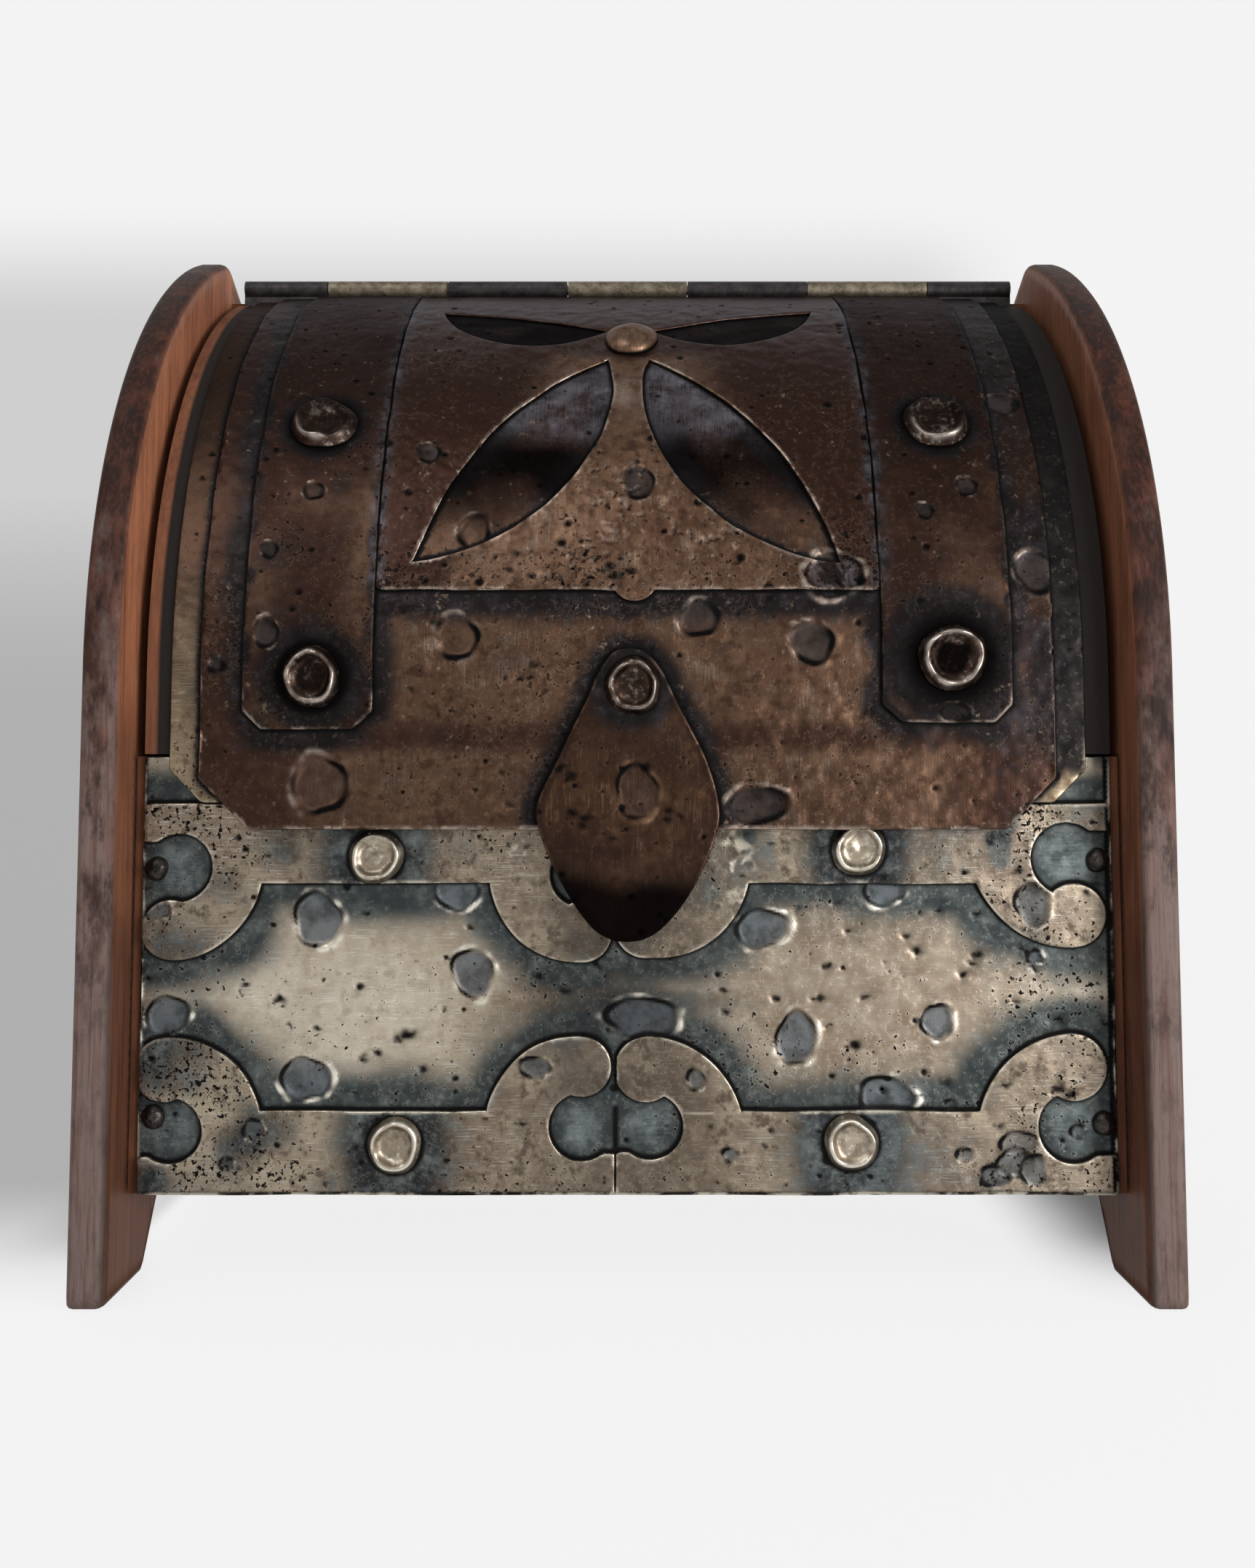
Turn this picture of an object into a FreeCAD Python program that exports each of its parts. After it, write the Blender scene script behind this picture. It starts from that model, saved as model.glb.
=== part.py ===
"""Small coffer: two shaped end boards carry a wooden box, its front clad in hammered sheet.

The quarter-round lid is a wooden shell under two sheets, with straps, a pierced plate and a
hanging pull. It turns on a long pinned hinge along the top at the back.
Frame: +X to the right, +Y to the back, +Z up, origin on the floor under the middle.
Lengths are millimetres and angles are degrees.
"""
import FreeCAD, Part
import math
import os
import re
import Sketcher

Vector = FreeCAD.Vector
doc = FreeCAD.newDocument("coffer")
sheet = doc.addObject("Spreadsheet::Sheet", "Sizes")

# ---------------------------------------------------------------- driving sizes
SIZES = {
    "chest_width": 230, "chest_depth": 110, "board_gauge": 8, "arris_round": 1.2,
    # end boards: straight front edge, a big arc over the top, a slope down to the back
    "front_board_top": 113.5, "spring_rise": 17.8, "crown_radius": 125, "peak_round": 8,
    "floor_gap": 20, "foot_length": 25, "foot_lean": 14,
    # the box between the end boards
    "front_recess": 13.6, "back_recess": 3, "rail_drop": 22.5,
    "dowel_radius": 2, "dowel_sink": 5, "dowel_reach": 9, "dowel_edge": 20, "dowel_rail_rise": 5,
    # bands on the front: scrolls hang from the upper one and stand on the lower one
    "cladding_gauge": 0.9, "cladding_side_gap": 2, "band_gauge": 0.9, "band_half_seam": 0.4,
    "upper_band_drop": 11.3, "upper_band_height": 16.2, "lower_band_height": 17.8,
    "scroll_drop": 16.6, "scroll_rise": 15.8, "corner_tip_inset": 6.5, "corner_foot_inset": 26,
    "corner_scroll_round": 17.5, "middle_scroll_tip": 10.6, "middle_scroll_foot": 30,
    "middle_scroll_round": 18, "bean_radius": 6.8, "bean_rise": 14.3, "bean_offset": 7.3,
    "eye_inset": 9.2, "eye_upper_rise": 5, "eye_lower_rise": 12.5, "eye_radius": 6.4,
    # lid, measured inwards from the crown
    "lid_setback": 10.7, "shell_gauge": 8, "shell_side_gap": 2.5, "lid_rest_gap": 0.5,
    "under_gauge": 0.8, "under_side_gap": 8, "under_drop": 10, "under_corner": 9,
    "copper_gauge": 0.9, "copper_side_gap": 14.6, "copper_drop": 15.7, "copper_corner": 11,
    "lip_rise": 3.1, "lip_flare": 1.0,
    "strap_gauge": 1.1, "strap_width": 28.1, "strap_side_gap": 9.2, "strap_rise": 6.5,
    "strap_corner": 4, "plate_gauge": 0.9,
    "petal_near_x": 5.8, "petal_far_inset": 8.1, "leaf_near_x": 6.2, "leaf_far_inset": 10.6,
    "boss_radius": 6.4, "boss_rise": 2.8,
    # hinge along the top
    "barrel_radius": 2.4, "pin_radius": 1.3, "pin_play": 0.05, "leaf_gauge": 0.8, "leaf_gap": 0.6,
    "leaf_drop": 12, "leaf_root": 1.6, "hinge_side_gap": 4, "end_knuckle": 22.5,
    "knuckle_gap": 0.3, "barrel_back": 30, "barrel_lift": 2.1, "barrel_play": 0.3,
    # hinge screws
    "screw_radius": 0.8, "screw_head_radius": 1.6, "screw_head_depth": 0.8, "screw_length": 6.5,
    "screw_drop": 9,
    # studs: head radius, rise and shank
    "strap_stud_radius": 7.2, "strap_stud_rise": 3.2,
    "band_stud_radius": 5.8, "band_stud_rise": 2.6, "band_stud_upper_inset": 53,
    "band_stud_lower_inset": 56.3, "band_stud_upper_lift": 6.8, "band_stud_lower_lift": 11,
    "corner_pin_radius": 2.6, "corner_pin_rise": 1.5, "corner_pin_inset": 2.7,
    "corner_pin_upper_lift": 4, "corner_pin_lower_lift": 14,
    "shank_radius": 1.2, "shank_reach": 5,
    # hanging pull
    "pull_gauge": 1.2, "pull_rivet_drop": 2.7, "pull_rivet_radius": 6.8, "pull_rivet_rise": 3,
    "pull_rivet_shank": 2.2, "pull_rivet_bite": 3, "pull_play": 0.05, "pull_stand_off": 0.3,
    "pull_top_radius": 9, "pull_half_width": 19.6, "pull_wide_drop": 26, "pull_tip_drop": 54.6,
    "pull_tip_radius": 9, "pull_tip_flat": 5.4, "pull_tip_round": 10.35, "pull_lean_start": 4,
    "pull_lean": 2.4, "pull_curl_drop": 46, "pull_curl": 2.2, "pull_side_round": 62,
    "pull_shoulder_rise": 2.5,
}

# Angles, and shares: of the dome's height, of its turn from the spring line to the trim's end,
# of a petal's span for the radius of each of its sides, of a scroll's height for its seams.
PROPORTIONS = {
    "peak_angle": 66.3, "rear_slope": 24,
    "plate_share": 0.171, "petal_near_share": 0.705, "petal_far_share": 0.227,
    "leaf_near_share": 0.828, "leaf_far_share": 0.893, "boss_share": 0.707,
    "petal_high_curve": 1.252, "petal_low_curve": 0.718, "leaf_high_curve": 2.364,
    "leaf_low_curve": 0.668,
    "strap_stud_low_share": 0.023, "strap_stud_high_share": 0.456,
    "middle_seam_share": 0.75, "corner_seam_share": 0.8,
}
INNER_KNUCKLES = 5

# ---------------------------------------------------------------- places worked out from the sizes
PLACES = {
    "front": "-chest_depth / 2",
    "back": "chest_depth / 2",
    "inner_half": "chest_width / 2 - board_gauge",
    "clad_half": "inner_half - cladding_side_gap",
    "under_half": "inner_half - under_side_gap",
    "copper_half": "inner_half - copper_side_gap",
    "strap_outside": "copper_half - strap_side_gap",
    "strap_inside": "strap_outside - strap_width",
    "dome_y": "front + crown_radius",
    "dome_z": "front_board_top + spring_rise",
    "front_board_y": "front + front_recess",
    "front_board_back": "front_board_y + board_gauge",
    "back_board_back": "back - back_recess",
    "back_board_y": "back_board_back - board_gauge",
    "cladding_face": "front_board_y - cladding_gauge",
    "band_face": "cladding_face - band_gauge",
    "upper_band_high": "front_board_top - upper_band_drop",
    "upper_band_low": "upper_band_high - upper_band_height",
    "lower_band_high": "floor_gap + lower_band_height",
    "eye_x": "clad_half - eye_inset",
    "eye_upper_z": "upper_band_low + eye_upper_rise",
    "eye_lower_z": "floor_gap + eye_lower_rise",
    "bean_height": "floor_gap + bean_rise",
    "band_stud_upper_x": "clad_half - band_stud_upper_inset",
    "band_stud_lower_x": "clad_half - band_stud_lower_inset",
    "band_stud_upper_z": "upper_band_low + band_stud_upper_lift",
    "band_stud_lower_z": "floor_gap + band_stud_lower_lift",
    "corner_pin_x": "clad_half - corner_pin_inset",
    "corner_pin_upper_z": "upper_band_low + corner_pin_upper_lift",
    "corner_pin_lower_z": "floor_gap + corner_pin_lower_lift",
    "shell_outer": "crown_radius - lid_setback",
    "shell_inner": "shell_outer - shell_gauge",
    "under_outer": "shell_outer + under_gauge",
    "copper_outer": "under_outer + copper_gauge",
    "strap_outer": "copper_outer + strap_gauge",
    "plate_outer": "copper_outer + plate_gauge",
    "copper_face": "dome_y - copper_outer",
    "under_low": "front_board_top - under_drop",
    "copper_low": "front_board_top - copper_drop",
    "lip_crease": "front_board_top + lip_rise",
    "strap_low": "front_board_top + strap_rise",
    "strap_stud_x": "strap_outside - strap_width / 2",
    "barrel_y": "back - barrel_back",
    "barrel_z": "dome_z + sqrt((copper_outer + barrel_lift)^2 - (dome_y - barrel_y)^2)",
    "lid_leaf_back": "barrel_y - leaf_gap / 2",
    "lid_end": "lid_leaf_back - leaf_gauge",
    "trim_end": "barrel_y - barrel_radius - 2 * barrel_play",
    "dome_rise": "sqrt(plate_outer^2 - (dome_y - trim_end)^2)",
    "dome_turn": "acos((dome_y - trim_end) / plate_outer) / 1 deg",
    "plate_low": "dome_z + dome_rise * plate_share",
    "petal_far_x": "strap_inside - petal_far_inset",
    "leaf_far_x": "strap_inside - leaf_far_inset",
    "rail_leaf_front": "barrel_y + leaf_gap / 2",
    "rail_face": "rail_leaf_front + leaf_gauge",
    "rail_top": "barrel_z - barrel_radius - barrel_play - leaf_gap",
    "rail_bottom": "barrel_z - rail_drop",
    "screw_z": "barrel_z - screw_drop",
    "peak_y": "dome_y - (crown_radius - peak_round) * cos(peak_angle * 1 deg)",
    "peak_z": "dome_z + (crown_radius - peak_round) * sin(peak_angle * 1 deg)",
    "slope_y": "peak_y + peak_round * sin(rear_slope * 1 deg)",
    "slope_z": "peak_z + peak_round * cos(rear_slope * 1 deg)",
    "fall": "tan(rear_slope * 1 deg)",
    "pull_rivet_z": "dome_z - pull_rivet_drop",
    "pull_back": "copper_face - pull_stand_off",
    "pull_tip_z": "pull_rivet_z - pull_tip_drop",
    "pull_seat": "pull_back - pull_gauge - pull_stand_off",
    "hinge_length": "2 * (inner_half - hinge_side_gap)",
    "knuckle_pitch": f"(hinge_length - 2 * end_knuckle) / {INNER_KNUCKLES}",
}

ALIASES = SIZES | PROPORTIONS
for line, (alias, size) in enumerate(ALIASES.items(), start=1):
    sheet.set(f"A{line}", alias.replace("_", " "))
    sheet.set(f"B{line}", str(size))
    sheet.setAlias(f"B{line}", alias)
doc.recompute()


def formula(words):
    """Turn words such as 'front + board_gauge' into an expression on the sheet."""
    def known(match):
        word = match.group(0)
        if word in PLACES:
            return "(" + formula(PLACES[word]) + ")"
        return "Sizes." + word if word in ALIASES else word
    return re.sub(r"[a-z]+[a-z_]*", known, str(words))


def number(words):
    """The value that a formula has now."""
    result = sheet.evalExpression(formula(words))
    return float(getattr(result, "Value", result))


def bind(thing, **formulas):
    """Tie properties of an object to formulas; a double underscore stands for a dot."""
    for name, words in formulas.items():
        thing.setExpression(name.replace("__", "."), formula(words))
    return thing


# ---------------------------------------------------------------- sketches
def new_sketch(body, role, offset=0):
    """An empty sketch on one of the body's own origin planes, moved along its normal."""
    plane = next(part for part in body.Origin.OriginFeatures if part.Role == role)
    sketch = body.newObject("Sketcher::SketchObject", body.Name + "_sketch")
    sketch.AttachmentSupport = (plane, "")
    sketch.MapMode = "FlatFace"
    bind(sketch, AttachmentOffset__Base__z=offset)
    return sketch


def hold(sketch, geometry, point, across, up):
    """Tie one point of the sketch to its formulas."""
    for kind, words in (("DistanceX", across), ("DistanceY", up)):
        place = sketch.addConstraint(Sketcher.Constraint(kind, -1, 1, geometry, point, number(words)))
        sketch.setExpression(f"Constraints[{place}]", formula(words))


def round_edge(start, end, radius):
    """The arc from start to end; it bulges to the left of the way when radius is positive."""
    chord = end - start
    across = Vector(-chord.y, chord.x, 0).normalize()
    rise = math.sqrt(max(radius ** 2 - (chord.Length / 2) ** 2, 0))
    side = 1 if radius > 0 else -1
    centre = (start + end) * 0.5 - across * rise * side
    circle = Part.Circle(centre, Vector(0, 0, 1), abs(radius))
    first, last = (end, start) if side > 0 else (start, end)
    return Part.ArcOfCircle(circle, circle.parameter(first), circle.parameter(last)), side


def outline(sketch, corners):
    """A closed outline. A corner is (across, up), or (across, up, radius, side) where the edge
    that leaves it is an arc: side 1 bulges to the left of the way, -1 to the right."""
    first_edge = sketch.GeometryCount
    points = [Vector(number(corner[0]), number(corner[1]), 0) for corner in corners]
    ends = []
    for place, corner in enumerate(corners):
        start, end = points[place], points[(place + 1) % len(points)]
        if len(corner) == 2:
            sketch.addGeometry(Part.LineSegment(start, end), False)
            ends.append((1, 2))
        else:
            arc, side = round_edge(start, end, number(corner[2]) * corner[3])
            sketch.addGeometry(arc, False)
            ends.append((2, 1) if side > 0 else (1, 2))
    count = len(corners)
    for place, corner in enumerate(corners):
        after = (place + 1) % count
        sketch.addConstraint(Sketcher.Constraint(
            "Coincident", first_edge + place, ends[place][1], first_edge + after, ends[after][0]))
        hold(sketch, first_edge + place, ends[place][0], corner[0], corner[1])
        if len(corner) == 4:
            radius = sketch.addConstraint(Sketcher.Constraint(
                "Radius", first_edge + place, abs(number(corner[2]))))
            sketch.setExpression(f"Constraints[{radius}]", formula(corner[2]))


def ring(sketch, across, up, radius):
    """A whole circle."""
    centre = Vector(number(across), number(up), 0)
    edge = sketch.addGeometry(Part.Circle(centre, Vector(0, 0, 1), number(radius)), False)
    hold(sketch, edge, 3, across, up)
    size = sketch.addConstraint(Sketcher.Constraint("Radius", edge, number(radius)))
    sketch.setExpression(f"Constraints[{size}]", formula(radius))


# ---------------------------------------------------------------- bodies
def new_body(label):
    body = doc.addObject("PartDesign::Body", label)
    body.Label = label
    return body


def pad(body, sketch, length, both_ways=False):
    feature = body.newObject("PartDesign::Pad", body.Name + "_pad")
    feature.Profile = sketch
    feature.SideType = "Symmetric" if both_ways else "One side"
    sketch.Visibility = False
    return bind(feature, Length=length)


def extruded(label, role, corners, length, offset=0, both_ways=False):
    """A body padded from one outline."""
    body = new_body(label)
    sketch = new_sketch(body, role, offset)
    outline(sketch, corners)
    pad(body, sketch, length, both_ways)
    return body


def cut_through(body, outlines):
    """Cut outlines seen from the front right through the body."""
    sketch = new_sketch(body, "XZ_Plane")
    for corners in outlines:
        outline(sketch, corners)
    feature = body.newObject("PartDesign::Pocket", body.Name + "_cut")
    feature.Profile = sketch
    feature.SideType = "Symmetric"
    bind(feature, Length="2 * chest_depth")
    return body


def soften(body, wanted):
    """Round the edges that the test picks."""
    doc.recompute()
    solid = body.Tip
    edges = [f"Edge{place}" for place, edge in enumerate(solid.Shape.Edges, 1) if wanted(edge)]
    feature = body.newObject("PartDesign::Fillet", body.Name + "_arris")
    feature.Base = (solid, edges)
    bind(feature, Radius="arris_round")
    return body


# ---------------------------------------------------------------- primitives and groups
def shaped(kind, label, **formulas):
    """A Part primitive whose sizes are tied to formulas."""
    return bind(doc.addObject("Part::" + kind, label), **formulas)


def turned(thing, axis, degrees):
    """Turn a primitive about an axis through its own origin."""
    thing.Placement = FreeCAD.Placement(Vector(), FreeCAD.Rotation(axis, number(degrees)))
    return bind(thing, Placement__Rotation__Angle=f"({degrees}) * 1 deg")


def placed(thing, across, back, up):
    return bind(thing, Placement__Base__x=across, Placement__Base__y=back, Placement__Base__z=up)


def joined(label, pieces, whole=True):
    """One solid from several, or a group of separate solids."""
    group = doc.addObject("Part::MultiFuse" if whole else "Part::Compound", label)
    if whole:
        group.Shapes = pieces
    else:
        group.Links = pieces
    group.Label = label
    return group


def bored(label, blank, *tools):
    """The blank less the pieces that pass through it, so each hole has its piece's own size."""
    for place, tool in enumerate(tools):
        blank.Label = f"{label}_blank_{place}"
        cut = doc.addObject("Part::Cut", label)
        cut.Base = blank
        cut.Tool = tool
        blank = cut
    blank.Label = label
    return blank


def stud(label, head_radius, rise, shank_radius="shank_radius", reach="shank_reach"):
    """A domed head on a shank, made upright: the head's flat side is at height 0."""
    ball = f"(({head_radius})^2 + ({rise})^2) / (2 * ({rise}))"
    head = shaped("Sphere", label + "_head", Radius=ball,
                  Angle1=f"asin(1 - ({rise}) / ({ball}))", Placement__Base__z=f"({rise}) - ({ball})")
    shank = shaped("Cylinder", label + "_shank", Radius=shank_radius,
                   Height=f"({reach}) + ({rise}) / 2", Placement__Base__z=f"-({reach})")
    return joined(label, [head, shank])


ACROSS, INWARDS = Vector(1, 0, 0), Vector(0, 1, 0)


def stud_on_front(label, across, up, face, head_radius, rise, **shank):
    """A stud whose head rests on the upright plane at the given depth."""
    piece = turned(stud(label, head_radius, rise, **shank), ACROSS, 90)
    return placed(piece, across, face, up)


def stud_on_dome(label, across, share, radius, head_radius, rise):
    """A stud square to the dome, at a share of the way from the spring line to the trim's end."""
    angle = f"{share} * dome_turn"
    piece = turned(stud(label, head_radius, rise), ACROSS, f"90 - ({angle})")
    return placed(piece, across, f"dome_y - ({radius}) * cos(({angle}) * 1 deg)",
                  f"dome_z + ({radius}) * sin(({angle}) * 1 deg)")


# ---------------------------------------------------------------- wooden box
nodes = {}


def keep(label, piece):
    nodes[label] = piece
    return piece


# Dowels join the long boards to the end boards: a depth and a height for each.
DOWEL_SEATS = [
    ("front_board_y + board_gauge / 2", "floor_gap + dowel_edge"),
    ("front_board_y + board_gauge / 2", "front_board_top - dowel_edge"),
    ("front_board_back + dowel_edge", "floor_gap + board_gauge / 2"),
    ("back_board_y - dowel_edge", "floor_gap + board_gauge / 2"),
    ("back_board_y + board_gauge / 2", "floor_gap + 2 * dowel_edge"),
    ("back_board_y + board_gauge / 2", "rail_bottom - 2 * dowel_edge"),
    ("back_board_y - board_gauge / 2", "rail_bottom + dowel_rail_rise"),
]
dowel_pieces = []
for side, start in (("left", "-inner_half - dowel_sink"), ("right", "inner_half - dowel_reach")):
    for place, (back, up) in enumerate(DOWEL_SEATS):
        dowel = shaped("Cylinder", f"dowel_{side}_{place}", Radius="dowel_radius",
                       Height="dowel_sink + dowel_reach")
        dowel_pieces.append(placed(turned(dowel, INWARDS, 90), start, back, up))
dowels = keep("dowels", joined("dowels", dowel_pieces, whole=False))

END_BOARD = [
    ("front", "0"), ("front", "dome_z", "crown_radius", 1),
    ("dome_y - crown_radius * cos(peak_angle * 1 deg)", "dome_z + crown_radius * sin(peak_angle * 1 deg)",
     "peak_round", 1),
    ("slope_y", "slope_z"), ("back", "slope_z - (back - slope_y) * fall"), ("back", "0"),
    ("back - foot_length", "0"), ("back - foot_length - foot_lean", "floor_gap"),
    ("front + foot_length + foot_lean", "floor_gap"), ("front + foot_length", "0"),
]


def long_edge(edge):
    """The outline's edges on the faces of an end board, and not the short ones across it."""
    box = edge.BoundBox
    return box.XLength < number("board_gauge") / 2


for side, start in (("left", "-inner_half - board_gauge"), ("right", "inner_half")):
    board = extruded(f"{side}_end_blank", "YZ_Plane", END_BOARD, "board_gauge", start)
    soften(board, long_edge)
    keep(f"{side}_end_board", bored(f"{side}_end_board", board, dowels))


def cross_board(label, corners):
    """A board that spans from one end board to the other."""
    blank = extruded(label + "_blank", "YZ_Plane", corners, "2 * inner_half", both_ways=True)
    return keep(label, bored(label, blank, dowels))


def section(front, back, bottom, top):
    return [(front, bottom), (front, top), (back, top), (back, bottom)]


cross_board("bottom_board", section("front_board_back", "back_board_y", "floor_gap",
                                    "floor_gap + board_gauge"))
cross_board("back_board", section("back_board_y", "back_board_back", "floor_gap", "rail_bottom"))

# ---------------------------------------------------------------- studs of the front
band_studs, corner_pins = [], []
for side, sign in (("left", "-"), ("right", "")):
    for row in ("upper", "lower"):
        band_studs.append(stud_on_front(
            f"band_stud_{side}_{row}", f"{sign}band_stud_{row}_x", f"band_stud_{row}_z",
            "band_face", "band_stud_radius", "band_stud_rise"))
        corner_pins.append(stud_on_front(
            f"corner_pin_{side}_{row}", f"{sign}corner_pin_x", f"corner_pin_{row}_z",
            "band_face", "corner_pin_radius", "corner_pin_rise"))
band_rivets = keep("band_rivets", joined("band_rivets", band_studs, whole=False))
pins = keep("corner_pins", joined("corner_pins", corner_pins, whole=False))

front_blank = extruded("front_board_blank", "YZ_Plane",
                       section("front_board_y", "front_board_back", "floor_gap", "front_board_top"),
                       "2 * inner_half", both_ways=True)
keep("front_board", bored("front_board", front_blank, dowels, band_rivets, pins))

cladding_blank = extruded("front_cladding_blank", "YZ_Plane",
                          section("cladding_face", "front_board_y", "floor_gap", "front_board_top"),
                          "2 * clad_half", both_ways=True)
keep("front_cladding", bored("front_cladding", cladding_blank, band_rivets, pins))


def band_outline(sign, low, high, scroll):
    """Half a band: a strip with a corner scroll and half of the middle scroll on one long edge.

    scroll is the height of the scroll tips: below the strip on the upper band, above on the
    lower one, so the outline runs along the plain edge first and then along the scrolls.
    """
    plain, shaped_edge, turn = (high, low, 1) if scroll == "drop" else (low, high, -1)
    tip = f"{low} - scroll_drop" if scroll == "drop" else f"{high} + scroll_rise"
    bulge = -turn if sign == "-" else turn
    return [
        (f"{sign}(clad_half)", plain), (f"{sign}band_half_seam", plain),
        (f"{sign}band_half_seam", f"{shaped_edge} + ({tip} - {shaped_edge}) * middle_seam_share"),
        (f"{sign}middle_scroll_tip", tip, "middle_scroll_round", -bulge),
        (f"{sign}middle_scroll_foot", shaped_edge),
        (f"{sign}(clad_half - corner_foot_inset)", shaped_edge, "corner_scroll_round", -bulge),
        (f"{sign}(clad_half - corner_tip_inset)", tip),
        (f"{sign}(clad_half)", f"{shaped_edge} + ({tip} - {shaped_edge}) * corner_seam_share"),
    ]


for row, low, high, scroll in (("upper", "upper_band_low", "upper_band_high", "drop"),
                               ("lower", "floor_gap", "lower_band_high", "rise")):
    for side, sign in (("left", "-"), ("right", "")):
        blank = new_body(f"{row}_band_{side}_blank")
        drawing = new_sketch(blank, "XZ_Plane", "-cladding_face")
        outline(drawing, band_outline(sign, low, high, scroll))
        ring(drawing, f"{sign}eye_x", f"eye_{row}_z", "eye_radius")
        if row == "lower":
            ring(drawing, f"{sign}bean_offset", "bean_height", "bean_radius")
        pad(blank, drawing, "band_gauge")
        label = f"{row}_band_{side}"
        keep(label, bored(label, blank, band_rivets, pins))


# ---------------------------------------------------------------- hinge
def hinge_part(label, owned, front, screws):
    """One leaf: a plate under the barrel with every other knuckle, counted from the left."""
    plate = placed(shaped("Box", label + "_plate", Length="hinge_length", Width="leaf_gauge",
                          Height="leaf_drop - leaf_root"),
                   "-hinge_length / 2", front, "barrel_z - leaf_drop")
    knuckles, notches = [plate], []
    for place in range(INNER_KNUCKLES + 2):
        start = "-hinge_length / 2" if place == 0 else (
            f"-hinge_length / 2 + end_knuckle + {place - 1} * knuckle_pitch")
        length = "end_knuckle" if place in (0, INNER_KNUCKLES + 1) else "knuckle_pitch"
        mine = place % 2 == owned
        ease = "knuckle_gap / 2" if mine else "-knuckle_gap / 2"
        roll = shaped("Cylinder", f"{label}_roll_{place}", Height=f"{length} - 2 * ({ease})",
                      Radius="barrel_radius" if mine else "barrel_radius + barrel_play")
        placed(turned(roll, INWARDS, 90), f"{start} + {ease}", "barrel_y", "barrel_z")
        (knuckles if mine else notches).append(roll)
    bore = shaped("Cylinder", label + "_bore", Radius="pin_radius + pin_play",
                  Height="hinge_length + 2 * barrel_radius")
    placed(turned(bore, INWARDS, 90), "-hinge_length / 2 - barrel_radius", "barrel_y", "barrel_z")
    blank = joined(label + "_rolled", knuckles)
    return keep(label, bored(label, blank, joined(label + "_clear", notches + [bore], whole=False),
                             screws))


def hinge_screws(label, ahead, head_face):
    """A row of countersunk screws, heads flush with a leaf; ahead is -1 where they point forward."""
    row = []
    for place in range(INNER_KNUCKLES + 1):
        head = shaped("Cone", f"{label}_head_{place}", Radius1="screw_head_radius",
                      Radius2="screw_radius", Height="screw_head_depth")
        stem = shaped("Cylinder", f"{label}_stem_{place}", Radius="screw_radius", Height="screw_length")
        screw = turned(joined(f"{label}_{place}", [head, stem]), ACROSS, 90 * -ahead)
        row.append(placed(screw, f"({place} - {INNER_KNUCKLES} / 2) * knuckle_pitch", head_face, "screw_z"))
    return keep(label, joined(label, row, whole=False))


lid_screws = hinge_screws("hinge_screws_lid", -1, "lid_leaf_back")
rail_screws = hinge_screws("hinge_screws_rail", 1, "rail_leaf_front")
hinge_part("hinge_leaf_lid", 0, "lid_end", lid_screws)
hinge_part("hinge_leaf_rail", 1, "rail_leaf_front", rail_screws)
hinge_pin = shaped("Cylinder", "hinge_pin", Radius="pin_radius", Height="hinge_length")
keep("hinge_pin", placed(turned(hinge_pin, INWARDS, 90), "-hinge_length / 2", "barrel_y", "barrel_z"))

rail_blank = extruded("hinge_rail_blank", "YZ_Plane", [
    ("rail_face", "rail_bottom"), ("rail_face", "rail_top"),
    ("back_board_back", "rail_top - (back_board_back - rail_face) * fall"),
    ("back_board_back", "rail_bottom")], "2 * inner_half", both_ways=True)
keep("hinge_rail", bored("hinge_rail", rail_blank, dowels, rail_screws))


# ---------------------------------------------------------------- lid
def domed(label, inner, outer, low, width, offset=None, lip=(), end="lid_end"):
    """A layer of the dome: straight up to the spring line, then round to its rear end."""
    corners = [(f"dome_y - {outer}", low)] if not lip else list(lip[0])
    corners += [
        (f"dome_y - {outer}", "dome_z", outer, 1),
        (end, f"dome_z + sqrt(({outer})^2 - (dome_y - {end})^2)"),
        (end, f"dome_z + sqrt(({inner})^2 - (dome_y - {end})^2)", inner, -1),
        (f"dome_y - {inner}", "dome_z"),
    ]
    corners += [(f"dome_y - {inner}", low)] if not lip else list(lip[1])
    return extruded(label, "YZ_Plane", corners, width, offset or 0, both_ways=offset is None)


def lower_corners(left, right, low, size):
    """Two triangles that take the lower corners off a sheet."""
    return [
        [(left, low), (f"{left} + {size}", low), (left, f"{low} + {size}")],
        [(right, low), (right, f"{low} + {size}"), (f"{right} - {size}", low)],
    ]


strap_studs = []
for side, sign in (("left", "-"), ("right", "")):
    for row in ("low", "high"):
        strap_studs.append(stud_on_dome(
            f"strap_stud_{side}_{row}", f"{sign}strap_stud_x", f"strap_stud_{row}_share",
            "strap_outer", "strap_stud_radius", "strap_stud_rise"))
strap_rivets = keep("strap_rivets", joined("strap_rivets", strap_studs, whole=False))

pull_rivet = keep("pull_rivet", stud_on_front(
    "pull_rivet", "0", "pull_rivet_z", "pull_seat", "pull_rivet_radius", "pull_rivet_rise",
    shank_radius="pull_rivet_shank",
    reach="copper_face - pull_seat + under_gauge + copper_gauge + pull_rivet_bite"))

boss = keep("ornament_boss", stud_on_dome(
    "ornament_boss", "0", "boss_share", "plate_outer", "boss_radius", "boss_rise"))

shell = domed("lid_shell_blank", "shell_inner", "shell_outer", "front_board_top + lid_rest_gap",
              "2 * (inner_half - shell_side_gap)")
keep("lid_shell", bored("lid_shell", shell, strap_rivets, pull_rivet, boss, lid_screws))

under = domed("under_sheet_blank", "shell_outer", "under_outer", "under_low", "2 * under_half")
cut_through(under, lower_corners("-under_half", "under_half", "under_low", "under_corner"))
keep("lid_under_sheet", bored("lid_under_sheet", under, strap_rivets, pull_rivet, boss))

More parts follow.
